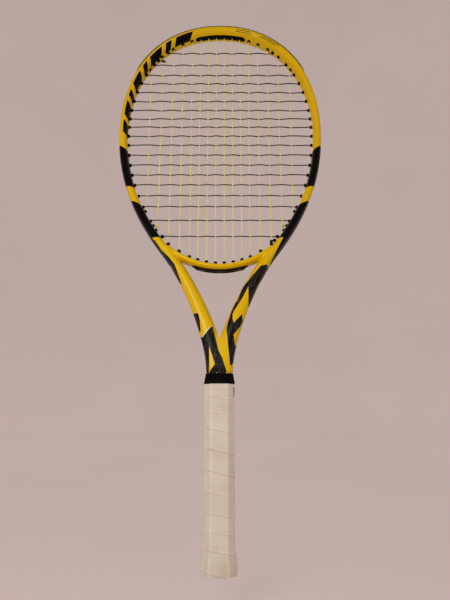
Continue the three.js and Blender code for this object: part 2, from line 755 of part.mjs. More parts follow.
const paint = new THREE.MeshStandardMaterial({ color: 0xe3b405, roughness: 0.22, metalness: 0 });
const grommetNylon = new THREE.MeshStandardMaterial({ color: 0x15130f, roughness: 0.55 });
const paleString = new THREE.MeshStandardMaterial({ color: 0xd8cf7c, roughness: 0.35 });
const darkString = new THREE.MeshStandardMaterial({ color: 0x1f1a14, roughness: 0.4 });
const foam = new THREE.MeshStandardMaterial({ color: 0x2b2a27, roughness: 0.9 });
const gripLeather = new THREE.MeshStandardMaterial({ color: 0x1b1a1a, roughness: 0.75 });
const whiteGrip = new THREE.MeshStandardMaterial({ color: 0xe9e1d3, roughness: 0.8 });
const blackTape = new THREE.MeshStandardMaterial({ color: 0x111111, roughness: 0.5 });
const blackRubber = new THREE.MeshStandardMaterial({ color: 0x121110, roughness: 0.7 });
const blackPlastic = new THREE.MeshStandardMaterial({ color: 0x141414, roughness: 0.45 });
const steel = new THREE.MeshStandardMaterial({ color: 0xb9bcc0, roughness: 0.3, metalness: 1 });

const pieces = [
  ["frame", frame, paint],
  ["throat_bridge", bridge, paint],
  ["bumper_guard", bumper, grommetNylon],
  ["head_inner_strip", innerStrip, grommetNylon],
  ["side_grommet_strip_left", sideStrips[0], grommetNylon],
  ["side_grommet_strip_right", sideStrips[1], grommetNylon],
  ["throat_grommet_strip", throatStrip, grommetNylon],
  ["main_string", tube(mainRoute), paleString],
  ["cross_string", tube(withoutRepeats(crossRoute)), darkString],
  ["main_string_knot_left", knotOn(mainTieOffs[0]), paleString],
  ["main_string_knot_right", knotOn(mainTieOffs[1]), paleString],
  ["cross_string_knot_top", knotOn(crossTieOffs[0]), darkString],
  ["cross_string_knot_bottom", knotOn(crossTieOffs[1]), darkString],
  ["handle_pallet", pallet, foam],
  ["base_grip", baseGrip, gripLeather],
  ["finishing_tape", finishingTape, blackTape],
  ["overgrip", overgrip, whiteGrip],
  ["rubber_collar", collar, blackRubber],
  ["butt_cap", cap, blackPlastic],
  ["butt_trap_door", door, blackPlastic],
  ["butt_cap_staple_front", staples[0], steel],
  ["butt_cap_staple_back", staples[1], steel],
];

const racket = new THREE.Group();
for (const [name, solid, material] of pieces) {
  const mesh = new THREE.Mesh(geometryOf(solid), material);
  mesh.name = name;
  racket.add(mesh);
}

export default racket;
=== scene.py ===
"""The looks of a full-size tennis racket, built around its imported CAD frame.

The racket stands on its butt: +Z from butt to tip, +X across the head, and the front towards -Y.
Shapes are worked out in millimetres, as the CAD's driving dimensions are, and solid() writes metres.
"""

import math

import bmesh
import bpy
import numpy as np
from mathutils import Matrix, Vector


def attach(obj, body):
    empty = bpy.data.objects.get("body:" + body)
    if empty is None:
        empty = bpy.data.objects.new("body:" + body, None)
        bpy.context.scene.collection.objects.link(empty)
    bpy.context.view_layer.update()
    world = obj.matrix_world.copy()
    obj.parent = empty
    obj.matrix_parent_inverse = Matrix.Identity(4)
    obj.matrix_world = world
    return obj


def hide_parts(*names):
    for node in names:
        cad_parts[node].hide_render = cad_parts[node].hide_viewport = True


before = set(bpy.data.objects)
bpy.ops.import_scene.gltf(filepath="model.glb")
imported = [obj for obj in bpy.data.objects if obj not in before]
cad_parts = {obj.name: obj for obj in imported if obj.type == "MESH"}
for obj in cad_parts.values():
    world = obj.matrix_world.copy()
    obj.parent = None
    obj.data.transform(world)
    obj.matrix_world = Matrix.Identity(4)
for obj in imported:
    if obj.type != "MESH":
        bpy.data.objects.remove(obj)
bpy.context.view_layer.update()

MM = 0.001
WELD = 2e-6  # vertices this near each other, in metres, become one

# ---- camera, light and floor

CAMERA_PLACE = (0.0063, -0.576, 0.146)
CAMERA_PITCH = math.radians(90 + 14.7)
CAMERA_LENS = 29.83
BACKDROP_TONE = (0.495, 0.433, 0.415)
BACKDROP_GLOW = 0.47  # the room's even light, as a share of what the backdrop's tone would give
BACKDROP_PROFILE = [(0, -0.045), (1.6, -0.045), (2.6, 0.1), (3.3, 0.9), (3.6, 2.4), (3.6, 5.6)]
BACKDROP_RINGS, BACKDROP_SIDES = 48, 72

LAMP_TONE = (1.0, 0.975, 0.94)
LAMP_TARGET = (0, 0, 0.38)
# Each softbox: name, place, size and power.
SOFTBOXES = [
    ("key_light", (-0.2, -0.56, 0.3), 0.3, 1.22),
    ("fill_light", (1.3, -1.5, 0.9), 1.2, 0.7),
    ("top_light", (0.0, -0.2, 2.4), 1.4, 1.2),
    ("back_light", (-0.3, 2.2, 2.2), 1.6, 3),
]


def added(name, data):
    thing = bpy.data.objects.new(name, data)
    bpy.context.scene.collection.objects.link(thing)
    return thing


def add_camera():
    data = bpy.data.cameras.new("camera")
    data.lens = CAMERA_LENS
    data.clip_start = 0.01
    camera = added("camera", data)
    camera.location = CAMERA_PLACE
    camera.rotation_euler = (CAMERA_PITCH, 0, 0)
    bpy.context.scene.camera = camera


def add_softbox(name, place, size, power):
    data = bpy.data.lights.new(name, "AREA")
    data.shape = "DISK"
    data.size = size
    data.energy = power
    data.color = LAMP_TONE
    lamp = added(name, data)
    lamp.location = place
    lamp.visible_camera = False
    lamp.rotation_euler = (Vector(LAMP_TARGET) - Vector(place)).to_track_quat("-Z", "Y").to_euler()


def add_world():
    world = bpy.data.worlds.new("studio")
    world.use_nodes = True
    background = world.node_tree.nodes["Background"]
    background.inputs["Color"].default_value = (*BACKDROP_TONE, 1)
    background.inputs["Strength"].default_value = BACKDROP_GLOW
    bpy.context.scene.world = world


# ---- materials: a small wrapper round a node tree


class Look:
    """A material under construction: every method adds nodes and gives back a socket or a number."""

    def __init__(self, name, **settings):
        self.material = bpy.data.materials.new(name)
        self.material.use_nodes = True
        self.tree = self.material.node_tree
        self.tree.nodes.clear()
        output = self.tree.nodes.new("ShaderNodeOutputMaterial")
        self.shader = self.tree.nodes.new("ShaderNodeBsdfPrincipled")
        self.tree.links.new(self.shader.outputs["BSDF"], output.inputs["Surface"])
        self.set(settings)

    def feed(self, socket, value):
        if isinstance(value, bpy.types.NodeSocket):
            self.tree.links.new(value, socket)
        elif socket.type == "RGBA":
            socket.default_value = (*value[:3], 1)
        else:
            socket.default_value = value

    def set(self, settings):
        for name, value in settings.items():
            self.feed(self.shader.inputs[name.replace("_", " ").title().replace("Ior", "IOR")], value)

    def node(self, kind, inputs, **settings):
        node = self.tree.nodes.new(kind)
        for name, value in settings.items():
            setattr(node, name, value)
        for key, value in inputs.items():
            self.feed(node.inputs[key], value)
        return node

    def math(self, operation, *values, clamp=False):
        inputs = dict(enumerate(values))
        return self.node("ShaderNodeMath", inputs, operation=operation, use_clamp=clamp).outputs[0]

    def attribute(self, name):
        return self.node("ShaderNodeAttribute", {}, attribute_name=name).outputs["Fac"]

    def place(self):
        return self.node("ShaderNodeTexCoord", {}).outputs["Object"]

    def times(self, first, second):
        return self.math("MULTIPLY", first, second)

    def parts(self, vector):
        return self.node("ShaderNodeSeparateXYZ", {0: vector}).outputs

    def vector(self, x, y, z=0.0):
        return self.node("ShaderNodeCombineXYZ", {0: x, 1: y, 2: z}).outputs[0]

    def scaled(self, vector, factors):
        return self.node("ShaderNodeVectorMath", {0: vector, 1: factors}, operation="MULTIPLY").outputs[0]

    def noise(self, vector, scale, detail=3.0, roughness=0.55):
        inputs = {"Vector": vector, "Scale": scale, "Detail": detail, "Roughness": roughness}
        return self.node("ShaderNodeTexNoise", inputs).outputs["Fac"]

    def cells(self, vector, scale, feature="F1"):
        inputs = {"Vector": vector, "Scale": scale}
        return self.node("ShaderNodeTexVoronoi", inputs, feature=feature).outputs["Distance"]

    def between(self, value, low, high, to_low=0.0, to_high=1.0):
        """value's way from low to high, as a number from to_low to to_high."""
        inputs = {0: value, 1: low, 2: high, 3: to_low, 4: to_high}
        return self.node("ShaderNodeMapRange", inputs, clamp=True).outputs[0]

    def mix(self, share, first, second):
        node = self.node("ShaderNodeMix", {}, data_type="RGBA")
        self.feed(node.inputs[0], share)
        self.feed(node.inputs[6], first)
        self.feed(node.inputs[7], second)
        return node.outputs[2]

    def bump(self, height, distance, strength=1.0, normal=None):
        inputs = {"Height": height, "Distance": distance, "Strength": strength}
        if normal is not None:
            inputs["Normal"] = normal
        return self.node("ShaderNodeBump", inputs).outputs[0]

    def patch(self, point, corners, sharpness=6.0):
        """1 inside a convex patch of the (along, across) plane, whose corners are given in order."""
        middle = [sum(axis) / len(corners) for axis in zip(*corners)]
        inside = None
        for (x0, y0), (x1, y1) in zip(corners, corners[1:] + corners[:1]):
            length = math.hypot(x1 - x0, y1 - y0)
            a, b = (y0 - y1) / length, (x1 - x0) / length
            c = -(a * x0 + b * y0)
            if a * middle[0] + b * middle[1] + c < 0:
                a, b, c = -a, -b, -c
            node = self.node("ShaderNodeVectorMath", {0: point, 1: (a, b, c)}, operation="DOT_PRODUCT")
            depth = node.outputs["Value"]
            inside = depth if inside is None else self.math("MINIMUM", inside, depth)
        return self.math("MULTIPLY_ADD", inside, sharpness, 1.0, clamp=True)

    def any_of(self, masks):
        whole = masks[0]
        for mask in masks[1:]:
            whole = self.math("MAXIMUM", whole, mask)
        return whole

    def patches(self, point, shapes):
        return self.any_of([self.patch(point, corners) for corners in shapes])

    def finished(self, colour, roughness, normal):
        self.set({"base_color": colour, "roughness": roughness, "normal": normal})
        return self.material


# ---- meshes


def solid(
    name, vertices, faces, material, slot, stands_for=(),
    body="root", attributes=None, crease=35, open_middle=False,
):
    """A smooth-shaded piece from places in millimetres, sharp where its faces turn by more than crease.

    open_middle drops the faces that lie in the plane between the left and right halves.
    """
    mesh = bpy.data.meshes.new(name)
    mesh.from_pydata((np.asarray(vertices, float) * MM).tolist(), [], [list(map(int, f)) for f in faces])
    for key, values in (attributes or {}).items():
        layer = mesh.attributes.new(key, "FLOAT", "POINT")
        layer.data.foreach_set("value", np.asarray(values, np.float32).ravel())
    work = bmesh.new()
    work.from_mesh(mesh)
    bmesh.ops.remove_doubles(work, verts=work.verts, dist=WELD)
    if open_middle:
        inside = [f for f in work.faces if all(abs(v.co.x) < 1e-7 for v in f.verts)]
        bmesh.ops.delete(work, geom=inside, context="FACES_ONLY")
    bmesh.ops.recalc_face_normals(work, faces=work.faces)
    work.to_mesh(mesh)
    work.free()
    mesh.shade_smooth()
    mesh.set_sharp_from_angle(angle=math.radians(crease))
    mesh.materials.append(material)
    piece = added(name, mesh)
    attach(piece, body)
    if stands_for:
        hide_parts(*stands_for)


def ring_faces(rings, sides, caps=True, loop=False):
    """Quads between rings of the same number of points, and a flat cap at each end."""
    faces = []
    for ring in range(rings if loop else rings - 1):
        low, high = ring * sides, (ring + 1) % rings * sides
        for side in range(sides):
            after = (side + 1) % sides
            faces.append((low + side, low + after, high + after, high + side))
    if caps and not loop:
        faces.append(tuple(range(sides))[::-1])
        faces.append(tuple(range((rings - 1) * sides, rings * sides)))
    return faces


def lofted(rings, **ends):
    """Rings of the same number of points, joined in order."""
    return np.vstack(rings), ring_faces(len(rings), len(rings[0]), **ends)


def gathered(parts):
    """Several (vertices, faces) as one."""
    vertices, faces, start = [], [], 0
    for points, polygons in parts:
        vertices.append(points)
        faces.extend(tuple(corner + start for corner in face) for face in polygons)
        start += len(points)
    return np.vstack(vertices), faces


def full_turn(sides):
    return 2 * np.pi * np.arange(sides) / sides


def circle(first, second, sides):
    """Unit circle through two directions."""
    turns = full_turn(sides)[:, None]
    return np.cos(turns) * first + np.sin(turns) * second


def mirrored(vertices):
    return np.asarray(vertices) * np.array([-1.0, 1.0, 1.0])


def smoothstep(value, low, high):
    share = np.clip((np.asarray(value, float) - low) / (high - low), 0, 1)
    return share * share * (3 - 2 * share)


def unit(vector):
    return vector / np.linalg.norm(vector)


# ---- the outline and the beam, with the CAD's driving dimensions

GAP = 0.3
LENGTH = 685.8
HEAD_HALF = 131.5
WIDEST_Z = 525
SHOULDER = (70, 353)
SHAFT = (15.7, 214)
LEG_HALF, LEG_TOP, LEG_BOTTOM = 11.5, 196, 10
BEAM = np.array([
    (LEG_BOTTOM, 20.5, 18.4),
    (LEG_TOP, 20.5, 18.4),
    (SHAFT[1], 20.5, 22.6),
    (250, 20.5, 23.6),
    (268, 19.4, 24.4),
    (300, 17, 25.4),
    (327, 15, 26),
    (350, 12.4, 26),
    (380, 11.1, 25.6),
    (LENGTH, 11.1, 23),
])
BEAM_ROUNDNESS = 2.4
V_TOP = 262
GROOVE_DEPTH, GROOVE_HALF, GROOVE_END_Z, GROOVE_RUNOUT = 3.5, 3.4, 322, 6
BUMPER_END_Z, BUMPER_SEAT, BUMPER_HALF, BUMPER_CHANNEL = 611, 1.3, 7.4, 2.7
STRAP_HALF, STRAP_THICKNESS = 3.05, 0.8
STRAP_FLOOR = GROOVE_DEPTH - GAP
STRAP_FACE = STRAP_FLOOR - STRAP_THICKNESS
BRIDGE_TOP = (341, 0.0062)
BRIDGE_UNDER = (334, 0.0052)
BRIDGE_DEPTH = 22.5


def bezier(corners, steps=500):
    share = np.linspace(0, 1, steps)[:, None]
    terms = zip((1, 3, 3, 1), range(4), np.array(corners, float))
    return sum(weight * share**k * (1 - share) ** (3 - k) * corner for weight, k, corner in terms)


class Outline:
    """The right half's outer edge in the face's plane, by distance from the tip."""

    def __init__(self):
        curves = [
            bezier([(0, LENGTH), (83, LENGTH), (HEAD_HALF, 617), (HEAD_HALF, WIDEST_Z)]),
            bezier([(HEAD_HALF, WIDEST_Z), (HEAD_HALF, 448), (103, 397), SHOULDER]),
            bezier([SHOULDER, (41, 314.5), (16.6, 246), SHAFT]),
            bezier([SHAFT, (SHAFT[0], 206), (LEG_HALF, 208), (LEG_HALF, LEG_TOP)]),
            np.array([(LEG_HALF, LEG_TOP), (LEG_HALF, LEG_BOTTOM)], float),
        ]
        points = np.vstack(curves)
        apart = np.linalg.norm(np.diff(points, axis=0), axis=1)
        self.points = points[np.concatenate([[True], apart > 1e-9])]
        steps = np.linalg.norm(np.diff(self.points, axis=0), axis=1)
        self.distances = np.concatenate([[0], np.cumsum(steps)])
        self.length = self.distances[-1]

    def at(self, distance):
        """Columns x, z and the outward normal nx, nz."""
        distance = np.asarray(distance)

        def point(where):
            return [np.interp(where, self.distances, column) for column in self.points.T]

        ahead = point(np.minimum(distance + 0.5, self.length))
        behind = point(np.maximum(distance - 0.5, 0))
        at_tip = distance < 0.01
        dx = np.where(at_tip, 1.0, ahead[0] - behind[0])
        dz = np.where(at_tip, 0.0, ahead[1] - behind[1])
        size = np.hypot(dx, dz)
        return *point(distance), -dz / size, dx / size

    def width(self, distance, fuse=0.3):
        x, z, nx, _ = self.at(distance)
        width = np.interp(z, BEAM[:, 0], BEAM[:, 1])
        return np.where(z > V_TOP, width, np.minimum(width, (x + fuse) / np.maximum(nx, 0.2)))

    def depth(self, distance):
        return np.interp(self.at(distance)[1], BEAM[:, 0], BEAM[:, 2])

    def place(self, distance, offset, y=0.0, side=1):
        """Points at an offset outwards from the edge and at y through the beam."""
        x, z, nx, nz = self.at(distance)
        offset, y = np.asarray(offset, float), np.asarray(y, float)
        return np.stack(np.broadcast_arrays(side * (x + nx * offset), y, z + nz * offset), axis=-1)


edge = Outline()


def bent_power(value):
    return np.sign(value) * np.abs(value) ** (2 / BEAM_ROUNDNESS)


def outer_lip(width, depth, y):
    """Offset of the beam's rounded outer surface at y."""
    share = np.clip(1 - np.abs(2 * y / depth) ** BEAM_ROUNDNESS, 0, 1) ** (1 / BEAM_ROUNDNESS)
    return (share - 1) * width / 2


def crossing(function, low, high):
    """The distance, between two others, at which a function of it passes 0."""
    rising = function(high) > function(low)
    for _ in range(40):
        middle = (low + high) / 2
        if (function(middle) > 0) == rising:
            high = middle
        else:
            low = middle
    return (low + high) / 2


def outer_edge_at(z, low, high):
    """The distance at which the outer edge passes a height."""
    return crossing(lambda distance: edge.at(distance)[1] - z, low, high)


def inner_edge_at(axis, value, low, high):
    """The distance at which the head's inner edge reaches a value of x (axis 0) or z (axis 2)."""
    return crossing(lambda d: edge.place(d, -edge.width(d))[axis] - value, low, high)


BUMPER_END = outer_edge_at(BUMPER_END_Z, 0, edge.length / 2)
GROOVE_END = outer_edge_at(GROOVE_END_Z, edge.length / 3, edge.length)

# ---- paint: where the lacquer is black, in millimetres along the edge and across the beam

ACROSS = 16.0  # one unit across the beam, outer edge to inner, as millimetres in the paint's plane


def on_beam(corners):
    return [(along, across * ACROSS) for along, across in corners]


HOOP_PANELS = [
    on_beam([(258, -0.1), (268, 1.1), (325, 1.1), (317, -0.1)]),
    on_beam([(337, -0.1), (353, 1.1), (404, 1.1), (395, -0.1)]),
]
# Slanted bars round the shoulder of the head: where each starts and ends along the edge.
BARS = [(40, 66), (74, 84), (92, 116), (124, 134), (142, 165), (174, 184), (192, 214), (222, 240)]
BAR_SLANT = 7.0
BAR_OUTER, BAR_INNER, BAR_BACK_INNER = 0.5, 0.97, 0.72  # the bars of the back stop at its face
# Throat shapes as seen from each face, all convex: x towards the viewer's right, z up.
THROAT_BLACK = [
    [(84, 386), (61, 341), (66, 336), (100, 367)],
    [(49, 336), (57, 338), (59, 333), (55, 323), (50, 317), (46, 316), (40, 325)],
    [(40, 326), (47, 316), (41, 302), (34, 300), (34, 311), (35, 319)],
    [(34, 302), (41, 304), (41, 299), (35, 285), (34, 288)],
    [(27, 310), (35, 319), (34, 311), (29, 301), (25, 294), (20, 291)],
    [(19, 292), (25, 294), (18, 283), (14, 281)],
    [(14, 282), (18, 284), (15, 277), (12, 275)],
    [(12, 275), (15, 277), (15, 270), (12, 220), (10, 240), (8, 260), (10, 268)],
    [(14, 274), (17, 266), (16, 253), (12, 220)],
    [(16, 254), (18, 239), (12, 220)],
    [(16, 266), (26, 277), (27, 269), (24, 263), (16, 253)],
    [(18, 240), (22, 242), (21, 233), (19, 226), (13, 217), (12, 220)],
    [(-88, 377), (-79, 369), (-70, 356), (-78, 350), (-100, 367)],
    [(-70, 356), (-62, 348), (-54, 338), (-60, 325), (-78, 350)],
    [(-54, 338), (-46, 316), (-52, 310), (-60, 328)],
    [(-40, 279), (-25, 278), (-23, 269), (-22, 257), (-30, 257)],
    [(-22, 251), (-16, 254), (-12, 241), (-12, 205), (-22, 205)],
    [(-16, 254), (-11, 262), (-8, 262), (-1, 234), (-5, 219), (-12, 240)],
    [(-1, 234), (3, 226), (8, 211), (8, 205), (-1, 205), (-5, 219)],
    [(-5, 219), (-1, 214), (-1, 205), (-11, 205), (-11, 211)],
]
THROAT_CREAM = [
    [(-21, 251), (-20, 250), (-10, 262), (-11, 263)],
    [(-4, 205), (-2.6, 210.5), (-1.6, 205)],
    [(5, 205), (7.8, 210), (9, 205)],
]
THROAT_PAINT_TOP = 392
# Fine lines on the right shoulder: where each starts and ends, and its height across the beam.
PIN_LINES = [(22, 46, 0.62), (24, 44, 0.5), (58, 86, 0.58), (62, 92, 0.46)]
PIN_WIDTH = 0.45
CARBON_START, CARBON_FULL = 408, 440  # the bare weave shows from here down


def slanted(start, end, low, high, slant=0.0):
    return [(start, low), (end, low), (end + slant, high), (start + slant, high)]


def graphics(look):
    """Masks of the black and the cream paint, for whichever face of the racket is seen."""
    x, y, z = look.parts(look.scaled(look.place(), (1 / MM, 1 / MM, 1 / MM)))
    along = look.times(look.attribute("along"), 1 / MM)
    level = look.times(look.attribute("across"), ACROSS)
    turn = look.times(look.attribute("around"), ACROSS)
    from_front = look.math("LESS_THAN", y, 0.0)
    seen_x = look.times(x, look.math("MULTIPLY_ADD", from_front, 2.0, -1.0))
    on_left = look.math("LESS_THAN", seen_x, 0.0)
    on_right = look.math("SUBTRACT", 1.0, on_left)
    turn_point = look.vector(along, turn, 1.0)
    face_point = look.vector(seen_x, z, 1.0)
    panels = look.patches(look.vector(along, level, 1.0), HOOP_PANELS)
    low, high = BAR_OUTER * ACROSS, BAR_INNER * ACROSS
    bars = look.patches(turn_point, [slanted(*ends, low, high, BAR_SLANT) for ends in BARS])
    rows = [(start, end, height * ACROSS) for start, end, height in PIN_LINES]
    pins = look.patches(turn_point, [slanted(*row, row[2] + PIN_WIDTH) for row in rows])
    shards = look.times(look.patches(face_point, THROAT_BLACK), look.math("LESS_THAN", z, THROAT_PAINT_TOP))
    cream = look.patches(face_point, THROAT_CREAM)
    unwrapped = look.math("LESS_THAN", look.attribute("around"), BAR_BACK_INNER)
    left = look.times(look.times(bars, on_left), look.math("MAXIMUM", from_front, unwrapped))
    return look.any_of([panels, shards, left, look.times(pins, on_right)]), cream, along, level


YELLOW = (0.72, 0.5, 0.001)
YELLOW_WARM = (0.8, 0.545, 0.001)
YELLOW_DEEP = (0.55, 0.365, 0.001)
PAINT_BLACK = (0.0028, 0.0027, 0.0021)
CARBON_GREY = (0.16, 0.157, 0.14)
CREAM = (0.74, 0.66, 0.42)
CHIP_BROWN = (0.05, 0.035, 0.02)
CHIPPED = (150, 20)  # the paint's outer rim is chipped from here towards the tip
COAT_ON_YELLOW, COAT_ON_BLACK = 0.3, 0.04


def lacquer(name, printed):
    look = Look(name, coat_roughness=0.22, specular_ior_level=0.13)
    place = look.place()
    colour = look.mix(look.between(look.noise(place, 9.0, 4.0), 0.35, 0.7), YELLOW, YELLOW_WARM)
    mottle = look.noise(place, 160.0, 5.0, 0.7)
    colour = look.mix(look.between(mottle, 0.56, 0.8, 0.0, 0.35), colour, YELLOW_DEEP)
    roughness = look.between(look.noise(place, 60.0, 4.0), 0.3, 0.75, 0.2, 0.34)
    scratches = look.noise(look.scaled(place, (900.0, 900.0, 60.0)), 1.0, 2.0, 0.4)
    roughness = look.math("MULTIPLY_ADD", look.between(scratches, 0.7, 0.74), 0.25, roughness)
    coat = COAT_ON_YELLOW
    if printed:
        black, cream, along, level = graphics(look)
        strands = look.noise(look.vector(look.times(along, 0.02), level), 2.0, 2.0, 0.5)
        tows = look.noise(look.vector(look.times(along, 0.22), look.times(level, 3.2)), 1.0, 4.0, 0.65)
        sheen = look.times(look.between(strands, 0.47, 0.58), look.between(tows, 0.47, 0.6))
        weave = look.times(sheen, look.between(along, CARBON_START, CARBON_FULL))
        colour = look.mix(black, colour, look.mix(weave, PAINT_BLACK, CARBON_GREY))
        colour = look.mix(cream, colour, CREAM)
        wear = look.between(look.noise(place, 420.0, 6.0, 0.7), 0.6, 0.66)
        rim = look.between(look.attribute("around"), 0.3, 0.14)
        chips = look.times(wear, look.times(look.between(along, *CHIPPED), rim))
        colour = look.mix(look.times(chips, 0.85), colour, CHIP_BROWN)
        roughness = look.math("MULTIPLY_ADD", chips, 0.4, roughness)
        coat = look.math("MULTIPLY_ADD", black, COAT_ON_BLACK - COAT_ON_YELLOW, COAT_ON_YELLOW)
    look.set({"coat_weight": coat})
    return look.finished(colour, roughness, look.bump(look.noise(place, 700.0, 2.0), 0.00003, 0.35))


SCUFF_TONE = (0.2, 0.19, 0.17)


def moulded(name, tone, roughness, grain=1400.0, depth=0.00006, scuff=0.0):
    """Moulded nylon, rubber or plastic: fine grain, uneven gloss and, where it rubs, pale scuffs."""
    look = Look(name, specular_ior_level=0.09)
    place = look.place()
    uneven = look.noise(place, 55.0, 5.0)
    lighter = tuple(min(1.0, channel * 1.9 + 0.004) for channel in tone)
    colour = look.mix(look.between(uneven, 0.35, 0.75), tone, lighter)
    gloss = look.between(look.noise(place, 130.0, 3.0), 0.3, 0.7, roughness - 0.09, roughness + 0.09)
    if scuff:
        scraped = look.noise(look.scaled(place, (420.0, 1500.0, 420.0)), 1.0, 4.0, 0.62)
        marks = look.between(scraped, 0.6, 0.68)
        colour = look.mix(look.times(marks, scuff), colour, SCUFF_TONE)
        gloss = look.math("MULTIPLY_ADD", marks, 0.2, gloss)
    return look.finished(colour, gloss, look.bump(look.noise(place, grain, 2.0), depth, 0.5))


def string_look(name, tone, dark_tone, roughness, **settings):
    """Twisted filament under a clear skin, with its colour a little uneven along its length."""
    look = Look(name, **settings)
    place = look.place()
    ripple = {"Vector": look.scaled(place, (1.0, 0.6, 1.0)), "Scale": 520.0, "Distortion": 2.0, "Detail": 2.0}
    twist = look.node("ShaderNodeTexWave", ripple, bands_direction="DIAGONAL").outputs["Fac"]
    colour = look.mix(look.between(look.noise(place, 35.0, 4.0), 0.3, 0.72), tone, dark_tone)
    colour = look.mix(look.times(twist, 0.22), colour, dark_tone)
    return look.finished(colour, roughness, look.bump(twist, 0.00004, 0.4))


GRIP_TONE = (0.74, 0.71, 0.61)
GRIP_SHADE = (0.64, 0.605, 0.505)
# Darker tone for dirt smudges, and for painted shade along the lap's edge.
GRIP_DIRT_AND_SHADE = (0.4, 0.34, 0.28)
# Painted highlight on the octagon's edges and in a line just above the lap's edge.
GRIP_HIGHLIGHT = (0.93, 0.9, 0.82)
GRIP_TURN_LENGTH, GRIP_WIDTH = 105.0, 23.0  # millimetres that its turn and width attributes stand for


def overgrip_look():
    """Tacky wrap: painted highlights along the octagon's edges and just above the lap's edge, painted shade
    along the lap's edge, dirt smudges and fine pores.
    """
    look = Look("tacky_overgrip", sheen_weight=0.12, sheen_roughness=0.6, specular_ior_level=0.35)
    place = look.place()
    turn, width = look.attribute("turn"), look.attribute("width")
    colour = look.mix(look.between(look.noise(place, 28.0, 5.0), 0.38, 0.72), GRIP_TONE, GRIP_SHADE)
    edge_highlight = look.between(look.noise(place, 45.0, 3.0), 0.35, 0.65, 0.25, 0.6)
    # Painted highlight along the octagon's edges, uneven in strength.
    colour = look.mix(look.times(look.attribute("ridge"), edge_highlight), colour, GRIP_HIGHLIGHT)
    from_lap_highlight = look.math("ABSOLUTE", look.math("SUBTRACT", width, 0.08))
    # Painted highlight in a thin line just above the lap's edge.
    colour = look.mix(look.between(from_lap_highlight, 0.045, 0.0, 0.0, 0.3), colour, GRIP_HIGHLIGHT)
    # Painted shade along the lap's edge, uneven in strength.
    lap_shade = look.between(look.noise(place, 90.0, 4.0), 0.3, 0.7, 0.15, 0.6)
    colour = look.mix(look.times(look.between(width, 0.05, 0.0), lap_shade), colour, GRIP_DIRT_AND_SHADE)
    smudge = look.between(look.noise(place, 75.0, 6.0, 0.65), 0.57, 0.72, 0.0, 0.3)
    colour = look.mix(smudge, colour, GRIP_DIRT_AND_SHADE)
    flat = look.vector(look.times(turn, GRIP_TURN_LENGTH), look.times(width, GRIP_WIDTH))
    pores = look.between(look.cells(flat, 1.15), 0.0, 0.32)
    creases = look.noise(look.scaled(flat, (0.35, 1.6, 1.0)), 0.5, 4.0, 0.6)
    grain = look.times(look.noise(place, 2300.0, 2.0), 0.35)
    fine = look.bump(look.math("MULTIPLY_ADD", pores, 0.5, grain), 0.00012, 0.55)
    roughness = look.between(creases, 0.3, 0.7, 0.52, 0.72)
    return look.finished(colour, roughness, look.bump(creases, 0.0005, 0.35, fine))


def base_grip_look():
    look = Look("perforated_base_grip", specular_ior_level=0.35)
    place = look.place()
    holes = look.between(look.cells(place, 190.0), 0.0, 0.22)
    grain = look.noise(place, 900.0, 4.0)
    colour = look.mix(holes, (0.002, 0.002, 0.002), (0.018, 0.017, 0.017))
    colour = look.mix(look.between(grain, 0.4, 0.8), colour, (0.035, 0.034, 0.033))
    relief = look.bump(look.math("MULTIPLY_ADD", grain, 0.3, holes), 0.0003, 0.7)
    return look.finished(colour, look.between(grain, 0.3, 0.7, 0.6, 0.85), relief)


def foam_look():
    look = Look("pallet_foam", specular_ior_level=0.25)
    cells = look.cells(look.place(), 900.0)
    colour = look.mix(look.between(cells, 0.1, 0.6), (0.012, 0.012, 0.011), (0.04, 0.039, 0.036))
    return look.finished(colour, look.between(cells, 0.0, 0.6, 0.8, 0.95), look.bump(cells, 0.0002, 0.7))


def steel_look():
    look = Look("staple_steel", metallic=1.0)
    drawn = look.noise(look.scaled(look.place(), (120.0, 2600.0, 2600.0)), 1.0, 3.0)
    colour = look.mix(look.between(drawn, 0.3, 0.7), (0.42, 0.43, 0.45), (0.62, 0.63, 0.64))
    return look.finished(colour, look.between(drawn, 0.3, 0.7, 0.25, 0.42), look.bump(drawn, 0.00002, 0.4))


GRIP_LOOK = overgrip_look()
FRAME_PAINT = lacquer("frame_lacquer", printed=True)
BRIDGE_PAINT = lacquer("bridge_lacquer", printed=False)
NYLON = moulded("grommet_nylon", (0.0042, 0.004, 0.0036), 0.5)
GUARD = moulded("bumper_nylon", (0.0055, 0.005, 0.0045), 0.55, scuff=0.7)
RUBBER = moulded("collar_rubber", (0.0028, 0.0028, 0.0026), 0.6, grain=900.0, depth=0.00009)
CAP_PLASTIC = moulded("cap_plastic", (0.008, 0.008, 0.008), 0.42, scuff=0.25)
TAPE = moulded("finishing_tape", (0.006, 0.006, 0.006), 0.45, grain=2400.0)
MAIN_LOOK = string_look(
    "main_string", (0.95, 0.92, 0.34), (0.8, 0.76, 0.26), 0.32, subsurface_weight=0.12, coat_weight=0.25
)
CROSS_LOOK = string_look("cross_string", (0.022, 0.013, 0.008), (0.009, 0.006, 0.004), 0.38, coat_weight=0.2)

# ---- frame skin

SKIN_SIDES = 44
SKIN_STEP = 2.6
WEB_BOTTOM = 242  # below this height the two halves are one full web


